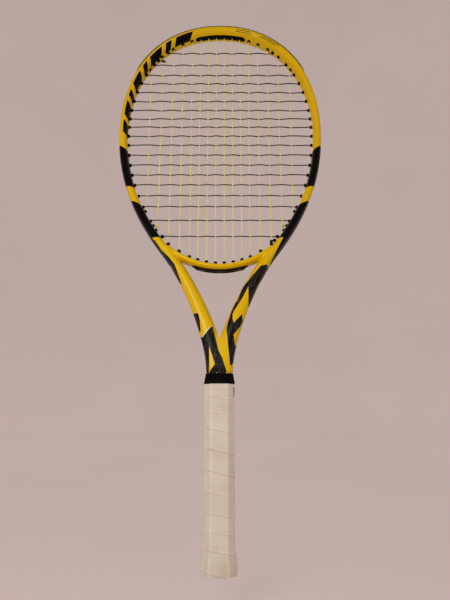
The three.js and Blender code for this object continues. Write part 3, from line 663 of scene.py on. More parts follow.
def skin_half():
    """Rings of the right half of the painted skin, and the along, across and around of each place."""
    even = np.linspace(0, edge.length, int(edge.length / SKIN_STEP) + 1)
    stations = np.unique(np.concatenate([even, [BUMPER_END - GAP, BUMPER_END + GAP]]))
    x, z, nx, nz = (column[:, None] for column in edge.at(stations))
    width, depth = edge.width(stations, fuse=1.0)[:, None], edge.depth(stations)[:, None]
    # Round the beam from one lip of the groove to the other, by the inner side.
    share = np.linspace(0, 1, SKIN_SIDES)
    start = np.arcsin((2 * GROOVE_HALF / depth) ** (BEAM_ROUNDNESS / 2))
    angle = start + (2 * np.pi - 2 * start) * share
    across = (bent_power(np.cos(angle)) - 1) * width / 2
    y = bent_power(np.sin(angle)) * depth / 2
    under_bumper = (stations < BUMPER_END)[:, None] & (np.abs(y) < BUMPER_HALF + GAP)
    across = np.minimum(across, np.where(under_bumper, -BUMPER_SEAT, 1.0))
    # Where the arms meet, each half stops at the middle and its inner side fills out to a web.
    web = smoothstep(-z, -V_TOP, -WEB_BOTTOM) * depth / 2
    y = np.where(np.cos(angle) < 0, np.sign(np.round(y, 6)) * np.maximum(np.abs(y), web), y)
    across = np.where(z < V_TOP, np.maximum(across, -x / np.maximum(nx, 0.2)), across)
    # The groove's own walls and floor, as shares of its depth and of its half width.
    down = np.array([0.0, 0.25, 1.0, 1.0, 1.0, 0.25, 0.0])
    groove = GROOVE_DEPTH * smoothstep(-stations, -GROOVE_END, GROOVE_RUNOUT - GROOVE_END)[:, None]
    offset = np.concatenate([across[:, :1] - down * groove, across], axis=1)
    walls = np.array([-1.0, -1.0, -1.0, 0.0, 1.0, 1.0, 1.0]) * GROOVE_HALF
    y = np.concatenate([np.tile(walls, (len(z), 1)), y], axis=1)
    half_turn = np.concatenate([np.zeros(len(down)), 1 - np.abs(1 - 2 * share)])
    values = {
        "along": np.repeat(stations * MM, offset.shape[1]),
        "across": np.clip(-offset / width, 0, 1).ravel(),
        "around": np.tile(half_turn, len(stations)),
    }
    places = np.stack([x + nx * offset, y, z + nz * offset], axis=-1)
    return places, values


def build_frame_skin():
    places, values = skin_half()
    rings, sides, _ = places.shape
    places = places.reshape(-1, 3)
    places[np.abs(places[:, 0]) < 1e-6, 0] = 0.0
    faces = ring_faces(rings, sides, caps=False)
    faces.append(tuple(range(len(places) - sides, len(places))))
    halves = gathered([(places, faces), (mirrored(places), faces)])
    doubled = {key: np.tile(column, 2) for key, column in values.items()}
    solid("frame_skin", *halves, FRAME_PAINT, "frame_paint", ["frame"], attributes=doubled, open_middle=True)


# ---- throat bridge: a bar blended into the two arms, meshed where its distance field crosses zero

BRIDGE_CELL = 0.9
BRIDGE_FILLET = 3.8
BRIDGE_LOW, BRIDGE_HIGH = np.array([(-78.0, -14.4, 322.0), (78.0, 14.4, 382.0)])
BRIDGE_ROOT = 2.2  # how deep the bar's roots go into the arms
BRIDGE_REACH = 0.72  # how far across an arm the bar's root stops, from the outer edge
BRIDGE_ENDS = 62  # x beyond which the bar stops inside the arm
SKIN_OVER = 0.02  # how far the blended surface stands over the arms' own skin
THROAT_WINDOW = (395, 530)  # the stretch of the edge that the bridge can be near


def radial_distance(across, y, half_width, half_depth):
    """About how far a point is outside a superellipse."""
    powers = np.abs(across / half_width) ** BEAM_ROUNDNESS + np.abs(y / half_depth) ** BEAM_ROUNDNESS
    return np.hypot(across, y) * (1 - 1 / np.maximum(powers ** (1 / BEAM_ROUNDNESS), 1e-3))


def nearest_on_edge(x, z):
    """Distance along the edge of the nearest place to each point, and the offset from it."""
    window = (edge.distances > THROAT_WINDOW[0]) & (edge.distances < THROAT_WINDOW[1])
    line, distances = edge.points[window][::4], edge.distances[window][::4]
    flat = np.stack([np.abs(x).ravel(), z.ravel()], axis=1)
    chunks = np.array_split(flat, len(flat) // 20000 + 1)  # to keep each table of gaps small
    found = np.concatenate([((part[:, None] - line) ** 2).sum(2).argmin(1) for part in chunks])
    way = line[np.minimum(found + 1, len(line) - 1)] - line[np.maximum(found - 1, 0)]
    way /= np.linalg.norm(way, axis=1)[:, None]
    reach = flat - line[found]
    along = distances[found] + (reach * way).sum(1)
    offset = reach[:, 0] * -way[:, 1] + reach[:, 1] * way[:, 0]
    return along.reshape(x.shape), offset.reshape(x.shape)


def bridge_edge(shape, x):
    base, square = shape
    return base + square * x**2


def bridge_field(x, y, z, nearest=None):
    """Negative inside the bar and its fillets, and a little way into the arms."""
    along, offset = nearest or nearest_on_edge(x, z)
    width, depth = edge.width(along), edge.depth(along)
    arm = radial_distance(offset + width / 2, y, width / 2, depth / 2)
    top, under = bridge_edge(BRIDGE_TOP, x), bridge_edge(BRIDGE_UNDER, x)
    bar = radial_distance(z - (top + under) / 2, y, (top - under) / 2, BRIDGE_DEPTH / 2)
    bar = np.maximum.reduce([bar, offset + BRIDGE_REACH * width, np.abs(x) - BRIDGE_ENDS])
    overlap = np.maximum(1 - np.abs(arm - bar) / BRIDGE_FILLET, 0)
    blended = np.minimum(arm, bar) - overlap**2 * BRIDGE_FILLET / 4 - SKIN_OVER
    return np.maximum.reduce([blended, -(arm + BRIDGE_ROOT), bar - 0.97 * BRIDGE_FILLET])


def surface_net(field, origin, cell):
    """One vertex in each cell that the surface crosses, and a quad round each edge that it crosses."""
    inside = field < 0
    shape = np.array(field.shape) - 1
    corners = [(i, j, k) for i in (0, 1) for j in (0, 1) for k in (0, 1)]

    def corner(array, step):
        return array[tuple(slice(s, s + n) for s, n in zip(step, shape))]

    total = sum(corner(inside, step).astype(int) for step in corners)
    crossed = (total > 0) & (total < 8)
    sums, counts = np.zeros((*shape, 3)), np.zeros(shape)
    for first in corners:
        for axis in (a for a in range(3) if not first[a]):
            second = tuple(c + (a == axis) for a, c in enumerate(first))
            low, high = corner(field, first), corner(field, second)
            cut = (low < 0) != (high < 0)
            point = np.broadcast_to(np.array(first, float), (*shape, 3)).copy()
            point[..., axis] += np.where(cut, low / np.where(cut, low - high, 1), 0)
            sums += np.where(cut[..., None], point, 0)
            counts += cut
    index = np.full(shape, -1)
    index[crossed] = np.arange(crossed.sum())
    vertices = origin + (np.argwhere(crossed) + sums[crossed] / counts[crossed][:, None]) * cell
    faces = []
    for axis, step in enumerate(np.eye(3, dtype=int)):
        ends = [zip(1 - step + s, shape + s) for s in (0 * step, step)]
        low, high = (inside[tuple(slice(*pair) for pair in end)] for end in ends)
        cut = np.argwhere(low != high) + 1 - step
        u, v = np.delete(np.eye(3, dtype=int), axis, axis=0)
        quads = [index[tuple((cut - shift).T)] for shift in (0 * u, u, u + v, v)]
        faces.append(np.stack(quads, axis=1))
    faces = np.vstack(faces)
    return vertices, faces[(faces >= 0).all(1)]


def onto_surface(vertices, rounds=3, step=0.05, reach=0.4):
    """Newton steps that put each vertex on the surface itself."""
    for _ in range(rounds):
        value = bridge_field(*vertices.T)
        slope = np.stack(
            [(bridge_field(*(vertices + step * axis).T) - value) / step for axis in np.eye(3)], axis=1
        )
        move = -value[:, None] * slope / np.maximum((slope**2).sum(1), 0.2)[:, None]
        size = np.linalg.norm(move, axis=1)[:, None]
        vertices = vertices + move * np.minimum(1, reach / np.maximum(size, 1e-9))
    return vertices


def build_bridge():
    axes = [np.arange(low, high + 0.01, BRIDGE_CELL) for low, high in zip(BRIDGE_LOW, BRIDGE_HIGH)]
    x, y, z = np.meshgrid(*axes, indexing="ij")
    nearest = [np.broadcast_to(part[:, None], x.shape) for part in nearest_on_edge(x[:, 0], z[:, 0])]
    vertices, faces = surface_net(bridge_field(x, y, z, nearest), BRIDGE_LOW, BRIDGE_CELL)
    vertices = onto_surface(vertices)
    solid("throat_bridge_skin", vertices, faces, BRIDGE_PAINT, "frame_paint", ["throat_bridge"], crease=60)


# ---- string pattern

STRING_R = 0.65
MAIN_X = [5.4, 16.4, 27.2, 39.4, 52.1, 65.5, 79.9, 96]
FIRST_CROSS_Z = 649.5
CROSS_GAPS = [
    19.5, 16.5, 13.5, 14, 14, 14, 13, 12.5, 13.5, 13.5, 14.5, 14.5, 14.2, 14.2, 15.2, 15.2, 19, 21.6
]
CORNER_SHIFT = 4.2  # the outermost main's lower hole lies this much further along the edge
BRIDGE_MAINS, SHOULDER_MAINS = 3, 5  # of each half: mains through the bridge, and up to its roots
# A lane's place beside the groove's middle, how soon after a bend it starts, and the step of its points.
LANE, LANE_LEAD, LANE_STEP = 1.75, 2.4, 5
MOUTH = 2.5  # how far inside the head's edge a string's run across the bed starts
STRING_DEPTH = STRAP_FACE - STRING_R - 0.4
BEND, TURN = 1.4, 0.9  # from a hole's axis to where the string lies flat, and how deep the bend starts
BRIDGE_STRAP = {"half": 34, "thickness": 0.5, "half_depth": 4.4}
UNDER_BRIDGE = 1.4  # from the bridge's underside to the axis of a string that lies below it
KNOT_OUTER, KNOT_HALF, KNOT_TURNS, KNOT_TAIL = 1.9, 1.7, 2.5, (1.2, 3.2)
CROSS_BOW, MAIN_BOW = 0.92, 0.42  # how far each string steps aside where they pass

# Places along the edge: where the head is widest, and where the throat begins.
WIDEST = inner_edge_at(2, WIDEST_Z, 0, edge.length * 0.5)
THROAT = inner_edge_at(2, SHOULDER[1] + 12, WIDEST, edge.length * 0.7)


class Hole:
    """A string hole: where it opens inside the head, where it comes out, and its place on the edge."""

    def __init__(self, side, distance=None, bridge_x=None):
        self.side = side
        self.distance = distance
        self.x = None if bridge_x is None else side * bridge_x
        if distance is not None:
            self.inner = edge.place(distance, -edge.width(distance), 0, side)
            self.out = edge.place(distance, 0, 0, side)
        else:
            self.inner = np.array([self.x, 0, bridge_edge(BRIDGE_TOP, self.x)])
            self.out = np.array([self.x, 0, bridge_edge(BRIDGE_UNDER, self.x)])

    @property
    def way(self):
        return unit(self.out - self.inner)

    @property
    def mouth(self):
        """Just inside the head, where a run across the bed starts."""
        return self.inner - self.way * MOUTH

    @property
    def bottom(self):
        """Just clear of the strap, where the string turns."""
        beyond = UNDER_BRIDGE - TURN if self.distance is None else -STRING_DEPTH - TURN
        return self.out + self.way * beyond

    def lying(self, shift, lane):
        """A place on the groove's floor, or under the bridge, a shift along from the hole."""
        if self.distance is not None:
            return edge.place(self.distance + shift, -STRING_DEPTH, lane, self.side)
        x = self.x + shift
        return np.array([x, lane, bridge_edge(BRIDGE_UNDER, x) - UNDER_BRIDGE])


def shoulder_hole(x, side):
    """A hole that starts on the bridge and takes the shortest way out."""
    inner = np.array([x, 0, bridge_edge(BRIDGE_TOP, x)])
    distances = np.arange(WIDEST, edge.length * 0.72, 0.5)
    reaches = np.linalg.norm(edge.place(distances, 0) - inner, axis=1)
    hole = Hole(side, distances[reaches.argmin()])
    hole.inner = inner * np.array([side, 1, 1])
    return hole


def main_holes(index, side):
    x = MAIN_X[index]
    top = Hole(side, inner_edge_at(0, x, 0, WIDEST))
    if index < BRIDGE_MAINS:
        return top, Hole(side, bridge_x=x)
    if index < SHOULDER_MAINS:
        return top, shoulder_hole(x, side)
    shift = CORNER_SHIFT if index == len(MAIN_X) - 1 else 0
    return top, Hole(side, inner_edge_at(0, x, WIDEST, THROAT + 20) + shift)


CROSS_Z = np.concatenate([[FIRST_CROSS_Z], FIRST_CROSS_Z - np.cumsum(CROSS_GAPS)])


def cross_hole(z, side):
    window = (0, WIDEST) if z > WIDEST_Z else (WIDEST, THROAT)
    return Hole(side, inner_edge_at(2, z, *window))


def half_way(first, second):
    return Hole(first.side, (first.distance + second.distance) / 2)


LEFT, RIGHT = [[main_holes(index, side) for index in range(len(MAIN_X))] for side in (-1, 1)]
CROSSES = [[cross_hole(z, side) for side in (-1, 1)] for z in CROSS_Z]
MAIN_TIES = [half_way(CROSSES[-2][i], half[-2][1]) for i, half in enumerate((LEFT, RIGHT))]
CROSS_TIES = [half_way(CROSSES[0][0], LEFT[-1][0]), half_way(CROSSES[-1][1], RIGHT[-3][1])]
MAINS = LEFT[::-1] + RIGHT
HEAD_HOLES = [hole for pair in MAINS for hole in pair if hole.distance is not None]
HEAD_HOLES += [hole for pair in CROSSES for hole in pair] + MAIN_TIES + CROSS_TIES
BRIDGE_HOLES = [pair[1] for pair in MAINS if pair[1].distance is None]


def outside_loop(start, end, lane):
    """Out of one hole, along the groove or under the bridge, and back in by the other."""
    first, last = (start.x, end.x) if start.distance is None else (start.distance, end.distance)
    way = np.sign(last - first)
    # Where it passes another string's hole it keeps to its own lane of the groove.
    own_side = [hole.distance for hole in HEAD_HOLES if hole.side == start.side]
    passes = start.distance is not None and any((at - first) * (at - last) < -1 for at in own_side)
    lead = BEND + LANE_LEAD
    run = abs(last - first) - 2 * lead
    steps = max(1, math.ceil(run / LANE_STEP))
    shifts = [lead + run * step / steps for step in range(steps + 1)]
    lane, shifts = (lane, shifts) if passes else (0, shifts[1:-1])
    between = [start.lying(way * shift, lane) for shift in shifts]
    return [
        start.mouth, start.bottom, start.lying(way * BEND, 0), *between,
        end.lying(-way * BEND, 0), end.bottom, end.mouth,
    ]


def eased(stops, values, at):
    """Values between stops, with a level pass at each stop."""
    after = np.clip(np.searchsorted(stops, at), 1, len(stops) - 1)
    low, high = stops[after - 1], stops[after]
    share = np.clip((at - low) / (high - low), 0, 1)
    turned = (1 - np.cos(np.pi * share)) / 2
    return values[after - 1] * (1 - turned) + values[after] * turned


RUN_STEP = 2.4


def main_run(index):
    """A main from its top hole to its bottom hole, stepping aside at each cross."""
    top, bottom = (hole.mouth for hole in MAINS[index])
    rows = [row for row, z in enumerate(CROSS_Z) if bottom[2] + 2 < z < top[2] - 2]
    stops = np.array([0.0, *(top[2] - CROSS_Z[rows]), top[2] - bottom[2]])
    bows = np.array([0.0, *(-MAIN_BOW if (row + index) % 2 else MAIN_BOW for row in rows), 0.0])
    depth = np.linspace(0, stops[-1], int(stops[-1] / RUN_STEP))
    places = top + (bottom - top) * (depth / stops[-1])[:, None]
    places[:, 1] = eased(stops, bows, depth)
    return list(places)


def cross_run(row):
    """A cross from left to right, the other side of each main."""
    left, right = (hole.mouth for hole in CROSSES[row])
    stops, bows = [left[0]], [0.0]
    for index, (top, bottom) in enumerate((top.mouth, bottom.mouth) for top, bottom in MAINS):
        share = (top[2] - CROSS_Z[row]) / (top[2] - bottom[2])
        x = top[0] + (bottom[0] - top[0]) * share
        if 0 <= share <= 1 and left[0] + 1 < x < right[0] - 1:
            stops.append(x)
            bows.append(CROSS_BOW if (row + index) % 2 else -CROSS_BOW)
    x = np.linspace(left[0], right[0], int((right[0] - left[0]) / RUN_STEP))
    places = left + (right - left) * ((x - left[0]) / (right[0] - left[0]))[:, None]
    places[:, 1] = eased(np.array([*stops, right[0]]), np.array([*bows, 0.0]), x)
    return list(places)


def tie_off(hole, tie, anchor, z, lane):
    """Round to the tie hole and in to a knot on a neighbouring main."""
    top, bottom = anchor[0].mouth, anchor[1].mouth
    knot = top + (bottom - top) * ((top[2] - z) / (top[2] - bottom[2]))
    end = knot + unit(tie.mouth - knot) * (KNOT_OUTER - 0.5)
    return knot, unit(top - bottom), outside_loop(hole, tie, lane) + [end]


def route(strings, run, end, lane, ties):
    """A whole string: one tie-off, run after run with a loop outside between them, and the other tie-off.

    end says at which end of the first run the string leaves it: 0 is the top or left, 1 the other.
    """
    points = ties[0][2][::-1]
    for index, pair in enumerate(strings):
        points += run(index) if end else run(index)[::-1]
        if index + 1 < len(strings):
            points += outside_loop(pair[end], strings[index + 1][end], lane)
        end = 1 - end
    return softened(points + ties[1][2])


def softened(points):
    """Corners cut to a quarter and three quarters of each step."""
    points = np.array(points)
    apart = np.linalg.norm(np.diff(points, axis=0), axis=1)
    points = points[np.concatenate([[True], apart > 0.05])]
    early = points[:-1] * 0.75 + points[1:] * 0.25
    late = points[:-1] * 0.25 + points[1:] * 0.75
    middle = np.stack([early, late], axis=1).reshape(-1, 3)
    return np.vstack([points[:1], middle, points[-1:]])


def tube(points, sides=8):
    """A string through points, whose rings turn as little as they can."""
    ways = np.gradient(points, axis=0)
    ways /= np.linalg.norm(ways, axis=1)[:, None]
    across = unit(np.cross(ways[0], np.array([0.13, 1.0, 0.21])))
    rings = []
    for point, way in zip(points, ways):
        across = unit(across - way * (across @ way))
        rings.append(point + circle(across, np.cross(way, across), sides) * STRING_R)
    return lofted(rings)


def knot_part(knot, way, tail_way):
    """Two and a half coils round the neighbouring string, and a cut tail."""
    first = unit(np.cross(way, np.array([0.0, 1.0, 0.0])))
    second = np.cross(way, first)
    coil = []
    for turn in np.linspace(0, KNOT_TURNS, 40):
        angle = 2 * math.pi * turn
        round_it = (first * math.cos(angle) + second * math.sin(angle)) * (2 * STRING_R + 0.02)
        coil.append(knot + way * (turn / KNOT_TURNS * 2 - 1) * (KNOT_HALF - STRING_R) + round_it)
    tail = [coil[-1] + unit(tail_way) * reach for reach in KNOT_TAIL]
    return tube(softened(coil + tail))


def build_strings():
    first_z = CROSS_TIES[0].inner[2] - KNOT_HALF
    last_z = (CROSS_Z[-1] + RIGHT[-3][1].inner[2]) / 2
    main_ties = [
        tie_off(half[-1][1], tie, half[-2], (CROSS_Z[-2] + half[-2][1].inner[2]) / 2, -LANE)
        for half, tie in zip((LEFT, RIGHT), MAIN_TIES)
    ]
    cross_ties = [
        tie_off(CROSSES[0][0], CROSS_TIES[0], LEFT[-2], first_z, LANE),
        tie_off(CROSSES[-1][1], CROSS_TIES[1], RIGHT[-3], last_z, LANE),
    ]
    for node, points, material in (
        ("main_string", route(MAINS, main_run, 0, -LANE, main_ties), MAIN_LOOK),
        ("cross_string", route(CROSSES, cross_run, 1, LANE, cross_ties), CROSS_LOOK),
    ):
        length = np.linalg.norm(np.diff(points, axis=0), axis=1).sum() * MM
        print(f"{node}'s length in m: {length:.2f}")
        solid(node + "_wound", *tube(points), material, node, [node], crease=60)
    for node, ends, ties, material in (
        ("main_string", ("left", "right"), main_ties, MAIN_LOOK),
        ("cross_string", ("top", "bottom"), cross_ties, CROSS_LOOK),
    ):
        for end, (knot, way, _), side in zip(ends, ties, (1, -1)):
            part = knot_part(knot, way, np.array([0.8 * side, 0.5, -0.5]))
            solid(f"{node}_knot_{end}_tied", *part, material, node, [f"{node}_knot_{end}"], crease=60)


# ---- grommets

BARREL_REACH, BRIDGE_BARREL_REACH = 2.2, 4.2  # how far a barrel's tip stands proud inside the head
LONG_BARRELS_BELOW = SHOULDER[1] + 27  # on the bridge and its two roots
BARREL_R, BARREL_BORE, BARREL_SIDES = 1.95, 0.95, 14
# From the tip: depth and radius, the bore first and then the rounded outside.
BARREL_TIP = [(0.4, 0.95), (0.1, 1.05), (0, 1.35), (0.12, 1.75), (0.5, 2.02), (1.1, 2.12), (2.4, 2.12)]
BUMPER_WING, BUMPER_PROUD, BUMPER_RIB = 9.4, 1.15, 12
RAIL_DROP, RAIL_WIDTH = 1.7, 3.3  # the throat strip's side walls, between which the mains lie
INNER_STRAP_HALF, INNER_STRAP_DEPTH, INNER_STRAP_THICKNESS = 34, 3.8, 0.9


def barrel(hole, strap_depth=STRAP_FACE + GAP):
    """A tube from the strap to a rounded tip inside the head, around the string."""
    reach = BRIDGE_BARREL_REACH if hole.inner[2] < LONG_BARRELS_BELOW else BARREL_REACH
    tip = hole.inner - hole.way * reach
    length = np.linalg.norm(hole.out - hole.way * strap_depth - tip)
    profile = BARREL_TIP + [(5.0, BARREL_R), (length, BARREL_R), (length, BARREL_BORE)]
    first = unit(np.cross(hole.way, np.array([0.0, 1.0, 0.0])))
    ring = circle(first, np.cross(hole.way, first), BARREL_SIDES)
    rings = [tip + hole.way * level + radius * ring for level, radius in profile]
    return lofted(rings, loop=True)


def swept(distances, section):
    """A closed strip along the head's edge, whose left half has distances below 0.

    section gives [offset, y] rows for a distance.
    """
    rings = []
    for distance in distances:
        offset, y = np.array(section(abs(distance)), float).T
        rings.append(edge.place(abs(distance), offset, y, -1 if distance < 0 else 1))
    return lofted(rings)


def strap_section(_, bevel=0.22):
    """A flat strap with eased corners, on the groove's floor."""
    face = [
        (-STRAP_FLOOR, STRAP_HALF - bevel), (bevel - STRAP_FLOOR, STRAP_HALF),
        (-STRAP_FACE - bevel, STRAP_HALF), (-STRAP_FACE, STRAP_HALF - bevel),
    ]
    return face + [(offset, -y) for offset, y in face[::-1]]


def build_side_strips():
    distances = np.arange(BUMPER_END + 0.8, GROOVE_END - 1, 3.0)
    for side, word in ((-1, "left"), (1, "right")):
        holes = [hole for hole in HEAD_HOLES if hole.side == side and hole.distance > BUMPER_END]
        parts = [swept(side * distances, strap_section)] + [barrel(hole) for hole in holes]
        node = f"side_grommet_strip_{word}"
        solid(node + "_moulding", *gathered(parts), NYLON, "grommet_nylon", [node])


def bumper_section(distance):
    """Follows the beam's round outside, with a channel for the strings and a foot in the groove."""
    width, depth = edge.width(distance), edge.depth(distance)
    left = BUMPER_END - distance
    notch = 1 - smoothstep(np.abs(distance % BUMPER_RIB - BUMPER_RIB / 2), 0.3, 0.9)
    proud = BUMPER_PROUD * smoothstep(left, -2, 9) - 0.25 * notch
    wing = BUMPER_HALF + (BUMPER_WING - BUMPER_HALF) * smoothstep(left, 0, 22)
    heights = np.concatenate([[wing, wing - 0.2], np.linspace(wing - 0.8, BUMPER_CHANNEL + 0.3, 6)])
    skin = outer_lip(width, depth, heights) + proud
    skin[0] -= proud + 0.15
    face = [*zip(skin, heights), (skin[-1] - 0.3, BUMPER_CHANNEL), (-STRAP_FACE, BUMPER_CHANNEL)]
    under = outer_lip(width, depth, wing) - 0.4
    back = [(-STRAP_FLOOR, STRAP_HALF), (-BUMPER_SEAT + 0.05, STRAP_HALF), (min(-1.2, under), wing - 0.1)]
    return face + [(offset, -y) for offset, y in face[::-1] + back[::-1]] + back


def build_bumper():
    half = np.array([*np.arange(0, BUMPER_END, 1.5), BUMPER_END - 0.4])
    strip = swept(np.concatenate([-half[:0:-1], half]), bumper_section)
    parts = [strip] + [barrel(hole) for hole in HEAD_HOLES if hole.distance < BUMPER_END]
    solid("bumper_guard_moulding", *gathered(parts), GUARD, "grommet_nylon", ["bumper_guard"], crease=28)


def build_throat_strip():
    """The strap under the bridge, which follows it, with a wall along each side."""
    half, thickness, half_depth = (BRIDGE_STRAP[key] for key in ("half", "thickness", "half_depth"))
    rings = []
    for x in np.linspace(-half, half, 61):
        end = smoothstep(half - abs(x), -0.5, 4)
        under = bridge_edge(BRIDGE_UNDER, x)
        low = under - thickness * (0.6 + 0.4 * end)
        foot = low - RAIL_DROP * smoothstep(half - abs(x), 1, 6)
        spread = half_depth * (0.55 + 0.45 * end)
        inner = max(spread - RAIL_WIDTH, 0.5)
        rows = [
            (under + 0.2, spread - 0.2), (under, spread), (foot + 0.25, spread), (foot, spread - 0.2),
            (foot, inner + 0.2), (foot + 0.2, inner), (low, inner - 0.05),
        ]
        rings.append([(x, y, z) for z, y in rows] + [(x, -y, z) for z, y in rows[::-1]])
    parts = [lofted(rings)] + [barrel(hole, 0.0) for hole in BRIDGE_HOLES]
    solid("throat_grommet_moulding", *gathered(parts), NYLON, "grommet_nylon", ["throat_grommet_strip"])


def build_inner_strip():
    """The strap inside the tip, wrapped round the inner face of the beam."""
    limit = inner_edge_at(0, INNER_STRAP_HALF, 0, WIDEST)

    def section(distance):
        end = float(smoothstep(limit - distance, -0.5, 5))
        width, depth = edge.width(distance), edge.depth(distance)
        heights = np.linspace(-1, 1, 13) * INNER_STRAP_DEPTH * (0.6 + 0.4 * end)
        surface = -width - outer_lip(width, depth, heights)
        proud = np.full(13, -INNER_STRAP_THICKNESS * (0.5 + 0.5 * end))
        proud[[0, -1]] *= 0.5
        offsets = np.concatenate([surface + proud, (surface + 0.3)[::-1]])
        return np.stack([offsets, np.concatenate([heights, heights[::-1]])], axis=1)

    strip = swept(np.linspace(-limit, limit, 61), section)
    solid("head_inner_strip_moulding", *strip, NYLON, "grommet_nylon", ["head_inner_strip"])


# ---- handle

HANDLE_HALF, HANDLE_DEPTH, HANDLE_CORNER, HANDLE_TOP = 16.8, 14.9, 7.6, 196.8
FLARE = np.array([(0.6, 1.5), (2, 2.1), (6, 2.75), (11, 2.95), (16, 1.9), (21, 0.7), (26, 0)])
HANDLE_SIDES, DOOR_SIDES = 128, 96
OVERGRIP_T, BASE_GRIP_T = 0.6, 1.5
PALLET_GROW = -(OVERGRIP_T + 2 * GAP + BASE_GRIP_T)
WRAP_PITCH = 20.3
WRAP_OVERLAP = 0.26  # how much of a turn's width the next turn covers
WRAP_START = 0.3
WRAP_DRIFT = 2.7  # how far a hand-wound turn strays from an even pitch, up and down every six turns


def octagon_radius(angle, half, half_depth, corner, sharpness=60.0):
    """Radius of a round-cornered octagon at an angle from the front, -Y, towards +X."""
    diagonal = (half + half_depth - corner) / math.sqrt(2)
    total = 0.0
    for step, reach in enumerate([half_depth, diagonal, half, diagonal] * 2):
        total = total + np.maximum(np.cos(angle - step * math.pi / 4) / reach, 0) ** sharpness
    return total ** (-1 / sharpness)


def handle_size(z, grow):
    """Half width, half depth and corner cut of the handle at a height, grown outwards."""
    shift = np.interp(z, FLARE[:, 0], FLARE[:, 1]) + grow
    return HANDLE_HALF + shift, HANDLE_DEPTH + shift, HANDLE_CORNER + (2 - math.sqrt(2)) * shift


def handle_radius(angle, z, grow):
    return octagon_radius(angle, *handle_size(z, grow), sharpness=45.0)


def ridge_at(angle):
    """1 on the octagon's edges and 0 on its flats."""
    folded = np.abs((np.asarray(angle) + math.pi / 2) % math.pi - math.pi / 2)
    first = math.atan2(HANDLE_HALF - HANDLE_CORNER, HANDLE_DEPTH)
    second = math.atan2(HANDLE_HALF, HANDLE_DEPTH - HANDLE_CORNER)
    return sum(np.exp(-(((folded - corner) / 0.045) ** 2)) for corner in (first, second))


def on_handle(angle, radius, z):
    return np.stack(np.broadcast_arrays(radius * np.sin(angle), -radius * np.cos(angle), z), axis=-1)


def wound(name, rings, turns, widths, stands_for=()):
    """A piece of the overgrip, with the turn, the place across its width and the octagon's edges, where its
    look paints highlights.
    """
    sides = len(rings[0])
    values = {
        "turn": np.repeat(turns, sides),
        "width": np.ravel(widths),
        "ridge": np.repeat(ridge_at(2 * math.pi * turns), sides),
    }
    solid(name, *lofted(rings), GRIP_LOOK, "overgrip", stands_for, attributes=values, crease=50)


# Across the strip, from the edge that laps over the last turn: place as a share of the pitch.
WRAP_LEVELS = np.array([
    0, 0.004, 0.02, 0.05, 0.1, 0.2, 0.34, 0.5, 0.66, 0.8, 0.92, 1, 1.06, 1 + WRAP_OVERLAP,
])
# How far the strip rises over its lowest layer: share of the pitch, and millimetres.
WRAP_RISE = np.array([
    (0, 0), (0.02, 0.5), (0.05, 0.56), (0.34, 0.36), (0.8, 0.2), (1, 0.1), (1.06, -0.1), (1.3, -0.16),
])
WRAP_STEPS = 128


def build_overgrip():
    """One tapered-end strip wound up the handle; each turn lies over the top edge of the last."""
    bottom, top = 0.7, HANDLE_TOP - 0.1
    first = (bottom - WRAP_START) / WRAP_PITCH - 1 - WRAP_OVERLAP
    last = (top - WRAP_START) / WRAP_PITCH
    turns = np.arange(first + 0.07, last - 0.07, 1 / WRAP_STEPS)
    rings, widths = [], []
    for turn in turns:
        angle = -2 * math.pi * turn
        drift = 0.3 * math.sin(turn * 1.9) - WRAP_DRIFT * math.cos((turn - 3.7) * math.pi / 3)
        z = WRAP_START + WRAP_PITCH * (turn + WRAP_LEVELS) + drift
        low, high = max(z[0], bottom), min(z[-1], top)
        fitted = low + (z - z[0]) * (high - low) / (z[-1] - z[0])
        width = (fitted - z[0]) / WRAP_PITCH
        wobble = 0.05 * math.sin(turn * 9.1) + 0.04 * math.sin(turn * 23.7 + 1)
        rise = np.interp(width, WRAP_LEVELS, np.interp(WRAP_LEVELS, *WRAP_RISE.T))
        rise = rise + wobble * np.clip(width * 6, 0, 1)
        outer = handle_radius(angle, fitted, rise - 0.25)
        inner = handle_radius(angle, fitted, np.minimum(rise, 0.05) - OVERGRIP_T)
        if fitted[0] <= bottom + 1e-6:
            outer[0] -= 0.25
        rings.append(np.vstack([on_handle(angle, outer, fitted), on_handle(angle, inner, fitted)[::-1]]))
        widths.append(np.concatenate([width, width[::-1]]))
    wound("overgrip_wrap", rings, turns, widths, ["overgrip"])


BAND_BOTTOM = 182.3
BAND_TURN, BAND_SLIT = 0.175, 0.0055  # where the ends of the finishing turn meet, and half the slit
# Up the band's outside: height, rise, and what the strip's width attribute says there. Near width 0, at the
# band's lower edge and in its two small dips, the grip's look paints shade; near 0.08 it paints a highlight.
BAND_ROWS = np.array([
    (BAND_BOTTOM, -0.05, 0), (BAND_BOTTOM + 0.05, 0.3, 0), (BAND_BOTTOM + 0.5, 0.62, 0.08),
    (BAND_BOTTOM + 1.4, 0.66, 0.3), (188.5, 0.56, 0.3), (188.7, 0.5, 0.02), (189, 0.76, 0.3),
    (190.5, 0.76, 0.3), (190.8, 0.5, 0.02), (191, 0.56, 0.3), (HANDLE_TOP - 0.5, 0.66, 0.3),
    (HANDLE_TOP - 0.1, 0.4, 0.3), (HANDLE_TOP - 0.1, -0.1, 0.3),
])
# The dark tab that paints the shade in the slit between the band's cut ends: height and rise.
SLIT_SHADE_ROWS = np.array([
    (BAND_BOTTOM + 0.8, 0.34), (192.6, 0.34), (192.9, 0.2), (192.9, -0.2), (BAND_BOTTOM + 0.8, -0.2),
])


